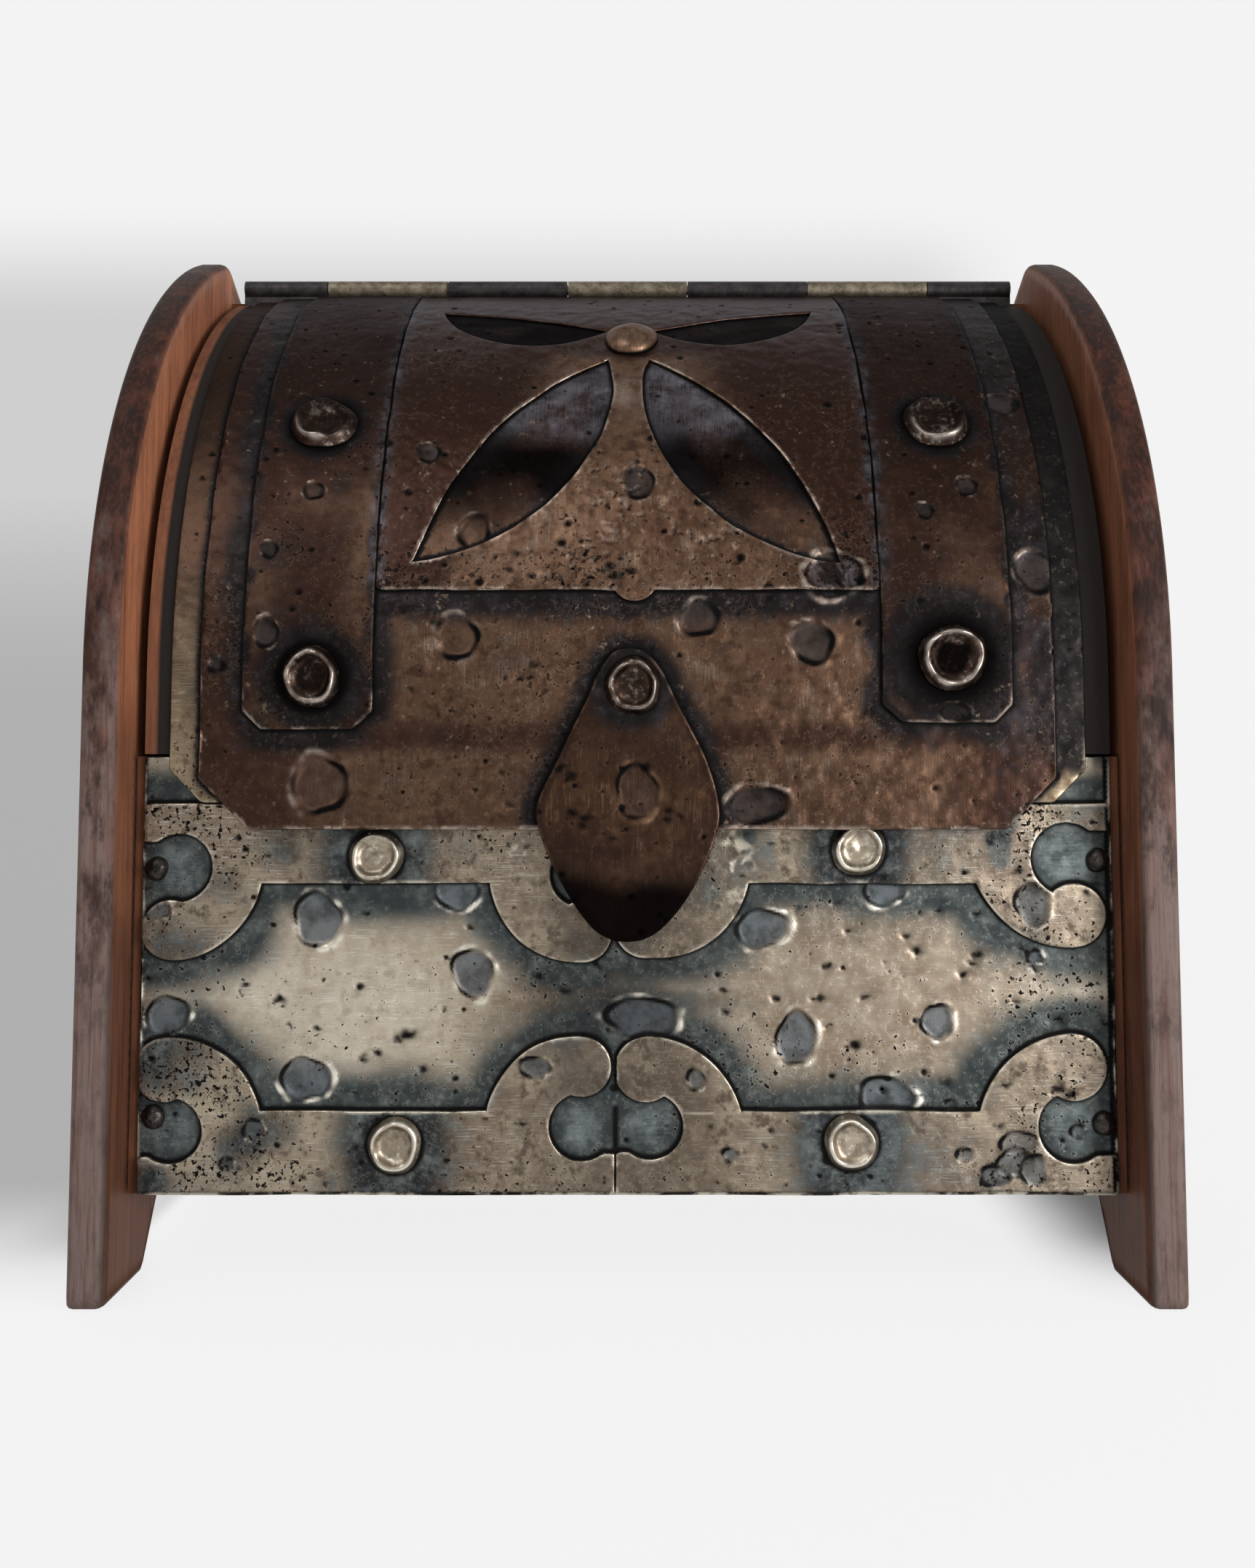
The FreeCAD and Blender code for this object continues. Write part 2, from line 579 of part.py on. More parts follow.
flared = "dome_y - {} - lip_flare"
copper = domed("copper_sheet_blank", "under_outer", "copper_outer", "copper_low",
               "2 * copper_half",
               lip=([(flared.format("copper_outer"), "copper_low"), ("dome_y - copper_outer", "lip_crease")],
                    [("dome_y - under_outer", "lip_crease"), (flared.format("under_outer"), "copper_low")]))
cut_through(copper, lower_corners("-copper_half", "copper_half", "copper_low", "copper_corner"))
keep("lid_copper_sheet", bored("lid_copper_sheet", copper, strap_rivets, pull_rivet, boss))

for side, start in (("left", "-strap_outside"), ("right", "strap_inside")):
    strap = domed(f"strap_{side}_blank", "copper_outer", "strap_outer", "strap_low", "strap_width",
                  start, end="trim_end")
    cut_through(strap, lower_corners(start, f"{start} + strap_width", "strap_low", "strap_corner"))
    keep(f"strap_{side}", bored(f"strap_{side}", strap, strap_rivets))

plate_lip = ("dome_y - sqrt((plate_outer)^2 - (plate_low - dome_z)^2)",
             "dome_y - sqrt((copper_outer)^2 - (plate_low - dome_z)^2)")
plate = extruded("ornament_plate_blank", "YZ_Plane", [
    (plate_lip[0], "plate_low", "plate_outer", 1),
    ("trim_end", "dome_z + sqrt((plate_outer)^2 - (dome_y - trim_end)^2)"),
    ("trim_end", "dome_z + sqrt((copper_outer)^2 - (dome_y - trim_end)^2)", "copper_outer", -1),
    (plate_lip[1], "plate_low")], "2 * strap_inside", both_ways=True)
petals = []
for sign, turn in (("-", 1), ("", -1)):
    for leaf in ("petal", "leaf"):
        span = (f"sqrt(({leaf}_far_x - {leaf}_near_x)^2"
                f" + (dome_rise * ({leaf}_far_share - {leaf}_near_share))^2)")
        petals.append([
            (f"{sign}{leaf}_near_x", f"dome_z + dome_rise * {leaf}_near_share",
             f"{leaf}_high_curve * {span}", -turn),
            (f"{sign}({leaf}_far_x)", f"dome_z + dome_rise * {leaf}_far_share",
             f"{leaf}_low_curve * {span}", -turn)])
cut_through(plate, petals)
keep("ornament_plate", bored("ornament_plate", plate, boss))

# ---------------------------------------------------------------- pull
# Seen from the front the pull is a leaf shape; seen from the side it leans out and curls at its tip.
pull_shoulder = "sqrt(pull_top_radius^2 - pull_shoulder_rise^2)"
pull_face = extruded("pull_face", "XZ_Plane", [
    (f"-{pull_shoulder}", "pull_rivet_z + pull_shoulder_rise", "pull_top_radius", 1),
    (pull_shoulder, "pull_rivet_z + pull_shoulder_rise"),
    ("pull_half_width", "pull_rivet_z - pull_wide_drop", "pull_side_round", 1),
    ("pull_tip_radius", "pull_tip_z + pull_tip_flat", "pull_tip_round", 1),
    ("-pull_tip_radius", "pull_tip_z + pull_tip_flat", "pull_side_round", 1),
    ("-pull_half_width", "pull_rivet_z - pull_wide_drop")],
    "crown_radius", "-dome_y")
lean_z, curl_z = "pull_rivet_z - pull_lean_start", "pull_rivet_z - pull_curl_drop"
high_z, low_z = "pull_rivet_z + 2 * pull_top_radius", "pull_tip_z - pull_gauge"
pull_side = extruded("pull_side", "YZ_Plane", [
    ("pull_back", high_z), ("pull_back", lean_z), ("pull_back - pull_lean", curl_z),
    ("pull_back - pull_lean - pull_curl", low_z),
    ("pull_back - pull_lean - pull_curl - pull_gauge", low_z),
    ("pull_back - pull_lean - pull_gauge", curl_z),
    ("pull_back - pull_gauge", lean_z), ("pull_back - pull_gauge", high_z)],
    "3 * pull_half_width", both_ways=True)
pull_blank = doc.addObject("Part::Common", "pull_blank")
pull_blank.Base = pull_face
pull_blank.Tool = pull_side
pull_hole = shaped("Cylinder", "pull_hole", Radius="pull_rivet_shank + pull_play", Height="crown_radius")
placed(turned(pull_hole, ACROSS, 90), "0", "dome_y", "pull_rivet_z")
keep("pull", bored("pull", pull_blank, pull_hole))

# ---------------------------------------------------------------- checks and files
doc.recompute()
for thing in doc.Objects:
    if "Invalid" in thing.State or "Error" in thing.State:
        raise SystemExit(f"{thing.Label} failed: {thing.State}")

os.makedirs("parts", exist_ok=True)
for label, piece in nodes.items():
    if piece.Shape.isNull() or not piece.Shape.isValid() or not piece.Shape.Solids:
        raise SystemExit(f"{label} has no valid solid")
    print(f"{label:20s} solids {len(piece.Shape.Solids):2d}  volume {piece.Shape.Volume:10.1f} mm3")
    piece.Shape.exportStep(f"parts/{label}.step")
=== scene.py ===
# %% [markdown]
# A small coffer in hammered sheet and dark wood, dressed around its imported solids.
#
# The solids say where every piece is and how it moves. This lesson gives them their
# finish: sheets that are dented, pitted and darkened by hand, studs that are hammered
# flat, and boards with worn arrises. Each step says what the piece is, how it could be
# made, and why this way was chosen.

# %% Open the frame
import bpy
import math
import numpy as np
from collections import namedtuple
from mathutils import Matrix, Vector, geometry, kdtree


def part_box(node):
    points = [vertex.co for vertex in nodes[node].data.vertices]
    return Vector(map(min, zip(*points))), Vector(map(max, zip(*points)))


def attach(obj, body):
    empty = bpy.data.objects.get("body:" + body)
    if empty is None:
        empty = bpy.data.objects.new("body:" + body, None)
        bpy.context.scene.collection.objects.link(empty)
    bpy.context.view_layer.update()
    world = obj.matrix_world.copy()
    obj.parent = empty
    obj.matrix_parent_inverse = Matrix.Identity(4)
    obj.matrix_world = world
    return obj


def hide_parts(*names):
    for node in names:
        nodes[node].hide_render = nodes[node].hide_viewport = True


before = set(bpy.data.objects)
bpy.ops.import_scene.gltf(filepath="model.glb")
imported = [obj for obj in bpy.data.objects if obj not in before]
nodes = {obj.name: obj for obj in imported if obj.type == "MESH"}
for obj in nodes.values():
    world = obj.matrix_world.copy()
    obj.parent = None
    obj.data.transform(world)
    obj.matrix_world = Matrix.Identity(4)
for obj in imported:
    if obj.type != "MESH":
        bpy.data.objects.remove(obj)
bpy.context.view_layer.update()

# %% [markdown]
# ## Sizes
# The coffer's pieces are worked out in millimetres and turned into metres where a mesh
# is made. The main places come from the solids, so the dress follows them. The dome's
# centre line is where the lid's upright part starts to bend.

# %% Sizes from the solids
MM = 0.001


def low_high(node):
    """A solid's lowest and highest corner in millimetres."""
    low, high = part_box(node)
    return low / MM, high / MM


board_low, board_high = low_high("left_end_board")
shell_low, _ = low_high("lid_shell")
sheet_low, sheet_high = low_high("lid_copper_sheet")
clad_low, clad_high = low_high("front_cladding")
strap_low, strap_high = low_high("strap_left")
under_low, under_high = low_high("lid_under_sheet")

CROWN_RADIUS = 125.0
DOME_Z = 131.3
DOME_Y = board_low.y + CROWN_RADIUS
LIP_FLARE = 1.0
COPPER_RADIUS = DOME_Y - sheet_low.y - LIP_FLARE
STRAP_RADIUS = DOME_Y - strap_low.y
UNDER_RADIUS = DOME_Y - under_low.y
SHELL_RADIUS = DOME_Y - shell_low.y
CLAD_FACE = clad_low.y
CLAD_HALF = clad_high.x
FLOOR_GAP = clad_low.z
print(f"copper radius {COPPER_RADIUS:.1f}, strap {STRAP_RADIUS:.1f}, cladding at {CLAD_FACE:.1f}")

# %% [markdown]
# ## Shader maths as expressions
# A material is a graph of nodes, which is slow to read as code. One small class wraps a
# socket, so that `1 - mask` or `grain * 0.2` adds the Math nodes by itself. Every other
# node comes from one method, `Finish.node`, which takes the node's type, its settings
# and what goes into its sockets.


# %% Sockets in arithmetic
def sums(operation, reflected=False):
    """A method for one operation; reflected is for a socket on the right of a number."""
    def method(self, other):
        return self.joined(operation, *((other, self) if reflected else (self, other)))
    return method


class Wire:
    """A socket that can be used in arithmetic."""

    def __init__(self, finish, socket):
        self.finish, self.socket = finish, socket

    def joined(self, operation, first, second):
        kind = "VectorMath" if self.socket.type == "VECTOR" else "Math"
        return self.finish.node(kind, {"operation": operation}, {0: first, 1: second})

    __add__, __radd__ = sums("ADD"), sums("ADD", reflected=True)
    __sub__, __rsub__ = sums("SUBTRACT"), sums("SUBTRACT", reflected=True)
    __mul__, __rmul__ = sums("MULTIPLY"), sums("MULTIPLY", reflected=True)

    def step(self, low, high, start=0.0, end=1.0):
        """A soft step from start at low to end at high."""
        return self.finish.node("MapRange", {"interpolation_type": "SMOOTHSTEP"},
                                {0: self, 1: low, 2: high, 3: start, 4: end})


print("sockets can be added, subtracted and multiplied")


# %% A finish
class Finish:
    """A material that is written as a few lines of maths."""

    def __init__(self, name):
        self.material = bpy.data.materials.new(name)
        self.material.use_nodes = True
        self.tree = self.material.node_tree
        self.surface = self.tree.nodes["Principled BSDF"]
        self.place = self.node("TexCoord", output="Object")

    def feed(self, socket, value):
        if isinstance(value, Wire):
            self.tree.links.new(value.socket, socket)
        else:
            socket.default_value = value

    def node(self, kind, settings=None, inputs=None, output=0):
        made = self.tree.nodes.new("ShaderNode" + kind)
        for key, value in (settings or {}).items():
            setattr(made, key, value)
        for key, value in (inputs or {}).items():
            self.feed(made.inputs[key], value)
        return Wire(self, made.outputs[output])

    def mark(self, name):
        """What the mesh says about each of its points."""
        return self.node("Attribute", {"attribute_name": name}, output="Fac")

    def clouds(self, size, stretch=(1, 1, 1), detail=3, rough=0.55):
        """Smooth noise in patches of about size millimetres, drawn out along an axis by stretch."""
        spread = tuple(1 / (size * MM * part) for part in stretch)
        return self.node("TexNoise", {}, {"Vector": self.place * spread, "Scale": 1.0,
                                          "Detail": detail, "Roughness": rough}, "Fac")

    def blend(self, mask, first, second):
        """One colour, then the other where the mask is 1."""
        return self.node("Mix", {"data_type": "RGBA"}, {0: mask, 6: first, 7: second}, output=2)

    def axis(self, number):
        """The place along one axis: 0 across, 1 in depth, 2 up."""
        return self.node("SeparateXYZ", {}, {0: self.place}, number)

    def set(self, **inputs):
        """Feed the surface's own sockets; an underscore stands for a space."""
        for key, value in inputs.items():
            self.feed(self.surface.inputs[key.replace("_", " ")], value)

    def bump(self, height, depth):
        """Relief that is too fine for the mesh, depth in millimetres."""
        self.set(Normal=self.node("Bump", {}, {"Height": height, "Distance": depth * MM, "Strength": 1.0},
                                  "Normal"))


def tone(red, green, blue):
    """A colour from 0 to 255 as seen on a screen, for a shader."""
    def linear(part):
        part /= 255
        return part / 12.92 if part <= 0.04045 else ((part + 0.055) / 1.055) ** 2.4
    return (linear(red), linear(green), linear(blue), 1.0)


print("shader helpers ready")

# %% [markdown]
# ## Shapes as fields
# The same idea serves for shapes. A field is a function of two coordinates that is
# negative inside a shape and grows with the distance outside it. Fields join with min
# and max, so a scroll is a disc, less a hole, plus the disc of its curled end. One field
# gives the sheet's outline, the rounding of its rim, and the dark halo that tarnish
# leaves on the sheet below it.


# %% Soft steps, noise and spots
def smooth(value, low, high):
    """A soft step from 0 at low to 1 at high, for arrays."""
    part = np.clip((value - low) / (high - low), 0, 1)
    return part * part * (3 - 2 * part)


LATTICE = 64
START_U, START_V = 31.3, 17.7


def drift(x, y, size, seed):
    """Smooth noise from -1 to 1 with patches of about size."""
    lattice = np.random.default_rng(seed).uniform(-1, 1, (LATTICE, LATTICE))
    u, v = x / size + START_U, y / size + START_V
    i, j = np.floor(u).astype(int), np.floor(v).astype(int)
    fu, fv = smooth(u - i, 0, 1), smooth(v - j, 0, 1)
    i, j, k, m = i % LATTICE, j % LATTICE, (i + 1) % LATTICE, (j + 1) % LATTICE
    low = lattice[i, j] * (1 - fu) + lattice[k, j] * fu
    high = lattice[i, m] * (1 - fu) + lattice[k, m] * fu
    return low * (1 - fv) + high * fv


def spot(x, y, across, up, wide, tall):
    """A soft spot, 1 in its middle."""
    return np.exp(-((x - across) / wide) ** 2 - ((y - up) / tall) ** 2)


def most(*parts):
    """The largest of several values at each point."""
    return np.maximum.reduce(parts)


print("noise ready")


# %% Fields of simple shapes
def disc(across, up, radius):
    return lambda x, y: np.hypot(x - across, y - up) - radius


def panel(left, right, bottom, top, corner=0.0):
    """A rectangle; corner cuts its two lower corners off at 45 degrees."""
    def field(x, y):
        sides = np.maximum(np.maximum(left - x, x - right), np.maximum(bottom - y, y - top))
        cut = (bottom + corner - y - np.minimum(x - left, right - x)) * math.sqrt(0.5)
        return np.maximum(sides, cut)
    return field


def union(*fields):
    return lambda x, y: np.minimum.reduce([field(x, y) for field in fields])


def overlap(*fields):
    return lambda x, y: np.maximum.reduce([field(x, y) for field in fields])


def less(field, *holes):
    return lambda x, y: np.maximum.reduce([field(x, y)] + [-hole(x, y) for hole in holes])


def hand_cut(field, amount, size, seed):
    """The same outline, cut by hand: it wanders by amount."""
    return lambda x, y: field(x, y) + amount * drift(x, y, size, seed)


def cast(field, reach):
    """Darkness under and beside a shape that lies on a sheet."""
    return lambda x, y: np.exp(-(np.maximum(field(x, y), 0) / reach) ** 1.5)


print("fields ready")

# %% [markdown]
# ## A sheet cut from a field
# A sheet could be a plane with a displacement modifier, but its outline would be a
# staircase and its rim square. Here the points are laid on a fine triangular grid, the
# ones near the outline are moved onto it, and a Delaunay triangulation joins them. Then
# the border is drawn outwards and down in a few rows, which rounds the rim, and a back
# closes the solid. A height function moves the front, and a place function wraps the
# flat sheet onto the front of the box or around the dome.


# %% Points on the outline
def slope_of(field, x, y, reach=0.02):
    """The field's value, the unit direction in which it grows, and how fast."""
    value = field(x, y)
    gx = (field(x + reach, y) - field(x - reach, y)) / (2 * reach)
    gy = (field(x, y + reach) - field(x, y - reach)) / (2 * reach)
    size = np.maximum(np.hypot(gx, gy), 1e-6)
    return value, gx / size, gy / size, size


def onto(field, x, y, level):
    """Move points along the slope until the field is at the level."""
    for _ in range(4):
        value, gx, gy, size = slope_of(field, x, y)
        move = (value - level) / size
        x, y = x - gx * move, y - gy * move
    return x, y


def thin_out(x, y, spacing):
    """Leave out points that lie too near an earlier one."""
    tree = kdtree.KDTree(len(x))
    for place, point in enumerate(zip(x, y)):
        tree.insert((point[0], point[1], 0), place)
    tree.balance()
    kept = np.ones(len(x), bool)
    for place in range(len(x)):
        if kept[place]:
            for _, other, _ in tree.find_range((x[place], y[place], 0), spacing):
                if other > place:
                    kept[other] = False
    return x[kept], y[kept]


print("outline helpers ready")


# %% Triangles inside the outline
ROW_PITCH = 0.866
SNAP = 0.62
MISSED, CROWDED = 0.1, 0.55
OUTSIDE, SLIVER = 0.08, 0.02


def flat_mesh(field, bounds, step, inset):
    """Triangles that fill the field down to the given inset from its outline. The constants are
    in steps: the pitch of the grid's rows, how near the outline a point is moved onto it, how far
    off it is given up and how near its neighbour, how far out a triangle may be and how small."""
    left, right, bottom, top = bounds
    rows = np.arange(bottom - step, top + step, step * ROW_PITCH)
    columns = np.arange(left - step, right + step, step)
    x, y = np.meshgrid(columns, rows)
    x = x + (np.arange(len(rows)) % 2)[:, None] * step / 2
    x, y = x.ravel(), y.ravel()
    value = field(x, y)
    near = np.abs(value + inset) < SNAP * step
    rim_x, rim_y = onto(field, x[near], y[near], -inset)
    good = np.abs(field(rim_x, rim_y) + inset) < MISSED * step
    rim_x, rim_y = thin_out(rim_x[good], rim_y[good], CROWDED * step)
    inner = value < -inset - SNAP * step
    points = np.column_stack((np.concatenate((x[inner], rim_x)), np.concatenate((y[inner], rim_y))))
    made = geometry.delaunay_2d_cdt([Vector(point) for point in points], [], [], 0, 1e-7, False)
    points = np.array([tuple(point) for point in made[0]])
    faces = np.array([face for face in made[2] if len(face) == 3])
    middle = points[faces].mean(axis=1)
    a, b, c = (points[faces[:, corner]] for corner in range(3))
    area = (b[:, 0] - a[:, 0]) * (c[:, 1] - a[:, 1]) - (b[:, 1] - a[:, 1]) * (c[:, 0] - a[:, 0])
    inside = ((field(middle[:, 0], middle[:, 1]) < -inset + OUTSIDE * step)
              & (np.abs(area) > SLIVER * step * step))
    faces = faces[inside]
    faces[area[inside] < 0] = faces[area[inside] < 0][:, ::-1]
    used = np.unique(faces)
    order = np.full(len(points), -1)
    order[used] = np.arange(len(used))
    return points[used], order[faces]


def border_of(faces):
    """The directed edges that only one face uses."""
    edges = np.concatenate((faces[:, (0, 1)], faces[:, (1, 2)], faces[:, (2, 0)]))
    known = set(map(tuple, edges.tolist()))
    return np.array([edge for edge in edges.tolist() if (edge[1], edge[0]) not in known])


print(f"rows of the grid: {ROW_PITCH} of a step apart")


# %% A piece in the scene
def placed(name, data):
    """An object for a mesh, a lamp or a camera."""
    made = bpy.data.objects.new(name, data)
    bpy.context.scene.collection.objects.link(made)
    return made


def shaped(name, points, faces, marks=None):
    """A smooth mesh as an object; marks are values that its points keep for the shader."""
    mesh = bpy.data.meshes.new(name)
    mesh.from_pydata(points, [], faces)
    mesh.polygons.foreach_set("use_smooth", np.ones(len(mesh.polygons), bool))
    for mark, values in (marks or {}).items():
        mesh.attributes.new(mark, "FLOAT", "POINT").data.foreach_set("value", np.array(values, np.float32))
    mesh.update()
    return placed(name, mesh)


def dress(piece, body, slot, finish, *replaced):
    """Give a piece its finish, its body and the solids that it stands for."""
    piece.data.materials.append(finish.material)
    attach(piece, body)
    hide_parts(*replaced)
    return piece


print("scene helpers ready")


# %% A closed sheet
RIM_BENDS = [math.radians(angle) for angle in (30, 60, 90)]


def rim_rows(rim, gauge, round_back):
    """How far out and how far down each row lies, from the rim of the front to the back."""
    rows = [(rim * math.sin(bend), rim * (1 - math.cos(bend))) for bend in RIM_BENDS]
    if not round_back:
        return rows + [(rim, gauge)]
    rows += [(rim * math.sin(bend), gauge - rim * (1 - math.cos(bend))) for bend in RIM_BENDS[::-1]]
    return rows + [(0, gauge)]


def cut_sheet(name, field, bounds, place, gauge, step=0.8, rim=0.3, height=None, marks=None,
              round_back=False):
    """A closed sheet as a mesh object; marks are functions whose values each point keeps."""
    points, faces = flat_mesh(field, bounds, step, rim)
    edges = border_of(faces)
    ring = np.unique(edges)
    turn = np.full(len(points), -1)
    turn[ring] = np.arange(len(ring))
    _, out_x, out_y, _ = slope_of(field, points[ring, 0], points[ring, 1])
    rows = rim_rows(rim, gauge, round_back)
    layers = [(points[:, 0], points[:, 1], np.zeros(len(points)))]
    layers += [(points[ring, 0] + out_x * outward, points[ring, 1] + out_y * outward,
                np.full(len(ring), down))
               for outward, down in rows]
    layers.append((points[:, 0], points[:, 1], np.full(len(points), gauge)))
    x, y, drop = (np.concatenate(part) for part in zip(*layers))
    relief = height(x, y) if height else np.zeros(len(x))
    lifted = np.where(drop < gauge * 0.99, relief, 0.0) - drop
    corners = np.column_stack(place(x, y, lifted)) * MM
    back = len(points) + len(rows) * len(ring)
    loops = [edges, *(turn[edges] + len(points) + row * len(ring) for row in range(len(rows))), edges + back]
    walls = [np.column_stack((before[:, 1], before[:, 0], after[:, 0], after[:, 1]))
             for before, after in zip(loops, loops[1:])]
    all_faces = [face for part in (faces, *walls, faces[:, ::-1] + back) for face in part.tolist()]
    keep = {"rim": lambda u, v: smooth(field(u, v), -0.9, -0.1)} | (marks or {})
    values = {mark: np.clip(function(x, y), 0, 1) for mark, function in keep.items()}
    print(f"{name}: {len(corners)} points")
    return shaped(name, corners.tolist(), all_faces, values)


# %% Where a flat sheet goes
def on_front(face):
    """Places a flat sheet on the front of the box: x across, y up, height towards the front."""
    return lambda x, y, height: (x, face - height, y)


def on_dome(radius):
    """Wraps a flat sheet over the lid: y is the way up and over, counted from the dome's spring line."""
    def place(x, y, height):
        angle = np.maximum(y, 0) / COPPER_RADIUS
        out = radius + height
        return (x, DOME_Y - out * np.cos(angle), DOME_Z + out * np.sin(angle) + np.minimum(y, 0))
    return place


print("sheet cutter ready")

# %% [markdown]
# ## Dents
# Hammered marks are of three kinds. Pebble marks are flat-bottomed, dark and about
# a centimetre wide, with a thrown-up edge whose bright side is a painted highlight. Pits
# are small and scattered, and nicks are soft dark bruises between the two. A displacement
# texture could give pits, but pebbles have places of their own, so all are short lists
# of places, and one function each adds them to a height.


# %% Pebble marks
Dents = namedtuple("Dents", "height dark line crest")


def pebble_shape(x, y, place, seed, facing):
    """How far out a point lies, 1 on the mark's edge, how high the thrown-up metal is, which is also
    how bright its painted highlight is, and how black the edge."""
    across, up, wide, tall = place[:4]
    bright = (*place, 1.0, 1.0)[5]
    lean = np.random.default_rng(seed).uniform(0, 2 * math.pi, 5)
    dx, dy = (x - across) / wide, (y - up) / tall
    angle = np.arctan2(dy, dx)
    wobble = 1 + 0.06 * np.sin(2 * angle + lean[0]) + 0.05 * np.sin(3 * angle + lean[1])
    ratio = np.hypot(dx, dy) / (wobble + 0.03 * np.sin(5 * angle + lean[2]))
    # the thrown-up metal is highest, and its painted highlight brightest, on the facing side
    thrown = 0.4 + 0.35 * np.cos(angle - facing) + 0.3 * np.sin(4 * angle + lean[3])
    thrown += 0.9 * np.exp(14 * (np.cos(angle - lean[4]) - 1)) + 0.2 * np.sin(9 * angle + lean[1])
    thrown *= 0.8 + 0.8 * drift(x, y, 1.3, 200 + seed)
    inked = np.clip(0.6 - 0.35 * np.cos(angle - facing) + 0.3 * np.sin(3 * angle + lean[2]), 0.1, 1)
    return ratio, bright * np.clip(thrown, 0.05, 1.3) * np.exp(-((ratio - 1.12) / 0.12) ** 2), inked


def pebbles(places, depth=0.55, crest=0.3, facing=-0.5, ink=0.5):
    """Height, darkness, outline and crest of pebble marks. Each is across, up, half width and half
    height, how dark it is inside and how bright its crest is where these aren't 1. Facing is the
    direction, in radians, in which the crests are highest and their painted highlight strongest,
    and ink how wide the black edge is."""
    def height(x, y):
        total = np.zeros_like(x)
        for seed, place in enumerate(places):
            ratio, thrown, _ = pebble_shape(x, y, place, seed, facing)
            total += crest * thrown - depth * (1 - smooth(ratio, 0.78, 1.0))
        return total

    def strongest(measure):
        def mark(x, y):
            return most(np.zeros_like(x), *(measure(*pebble_shape(x, y, place, seed, facing), place)
                                            for seed, place in enumerate(places)))
        return mark

    def dark(ratio, thrown, inked, place):
        return (*place, 1.0)[4] * (1 - smooth(ratio, 0.84, 0.98))

    def line(ratio, thrown, inked, place):
        return inked * np.exp(-((ratio - 0.97) * min(place[2:4]) / ink) ** 2)

    # the crest mark is a painted highlight on the thrown-up metal
    return Dents(height, strongest(dark), strongest(line),
                 strongest(lambda ratio, thrown, inked, place: 0.9 * thrown))


print("pebble marks:", *Dents._fields)


# %% Pits and nicks
Pits = namedtuple("Pits", "height dark")


def pits(count, bounds, seed, where=None, small=0.35, large=1.1, depth=0.28):
    """Height and darkness of scattered small pits; where gives the share that is kept at a place."""
    random = np.random.default_rng(seed)
    left, right, bottom, top = bounds
    spots = np.column_stack((random.uniform(left, right, count), random.uniform(bottom, top, count),
                             small + (large - small) * random.power(0.6, count) ** 2))
    if where is not None:
        spots = spots[random.uniform(0, 1, count) < where(spots[:, 0], spots[:, 1])]

    def ratio(x, y):
        nearest = np.full(len(x), 9.0)
        for across, up, radius in spots:
            close = (np.abs(x - across) < 3 * radius) & (np.abs(y - up) < 3 * radius)
            if close.any():
                far = np.hypot(x[close] - across, (y[close] - up) * 1.15) / radius
                nearest[close] = np.minimum(nearest[close], far)
        return nearest

    def height(x, y):
        out = ratio(x, y)
        return -depth * (1 - smooth(out, 0.3, 1.1)) + 0.07 * np.exp(-((out - 1.5) / 0.3) ** 2)

    return Pits(height, lambda x, y: 1 - smooth(ratio(x, y), 0.5, 1.2))


def smudges(places):
    """Soft dark nicks with torn outlines; each is across, up and radius."""
    def nicked(x, y):
        u, v = x + 0.5 * drift(x, y, 1.1, 43), y + 0.5 * drift(x, y, 1.1, 44)
        return np.maximum.reduce([
            np.exp(-((u - across - 0.4 * math.sin(9 * across) * (v - up)) / (1.25 * radius)) ** 2
                   - ((v - up) / (0.85 * radius)) ** 2) for across, up, radius in places])
    return nicked


def scattered(count, bounds, seed, small=0.5, large=1.1):
    """Places of more nicks, as chance has them."""
    random = np.random.default_rng(seed)
    left, right, bottom, top = bounds
    return [tuple(place) for place in np.column_stack((
        random.uniform(left, right, count), random.uniform(bottom, top, count),
        random.uniform(small, large, count)))]


print("dents ready")

# %% [markdown]
# ## Finish of the metal
# All the sheets are the same recipe in different tones: a brushed bright ground, a browner
# cloud over it, a blue-black patina where the mesh says so, dark grey pebbles and a rim
# that handling has rubbed bright. Over these the marks paint light and shade: contact
# shade where parts meet, highlights on the crests of dents, a dark reflection over the
# top of the lid and shade in its crease. The patina could be painted, but the fields
# already know the distance to every edge, so the mesh carries it as a mark and the
# shader only roughens its border with noise.


# %% Aged metal
SOOT_AND_SHADE, GRIME_AND_SHADE = tone(13, 10, 10), tone(14, 13, 13)
MARKS = ("tarnish", "deepen", "dent", "pit", "speckle", "line", "shade", "bloom", "crest", "rim")


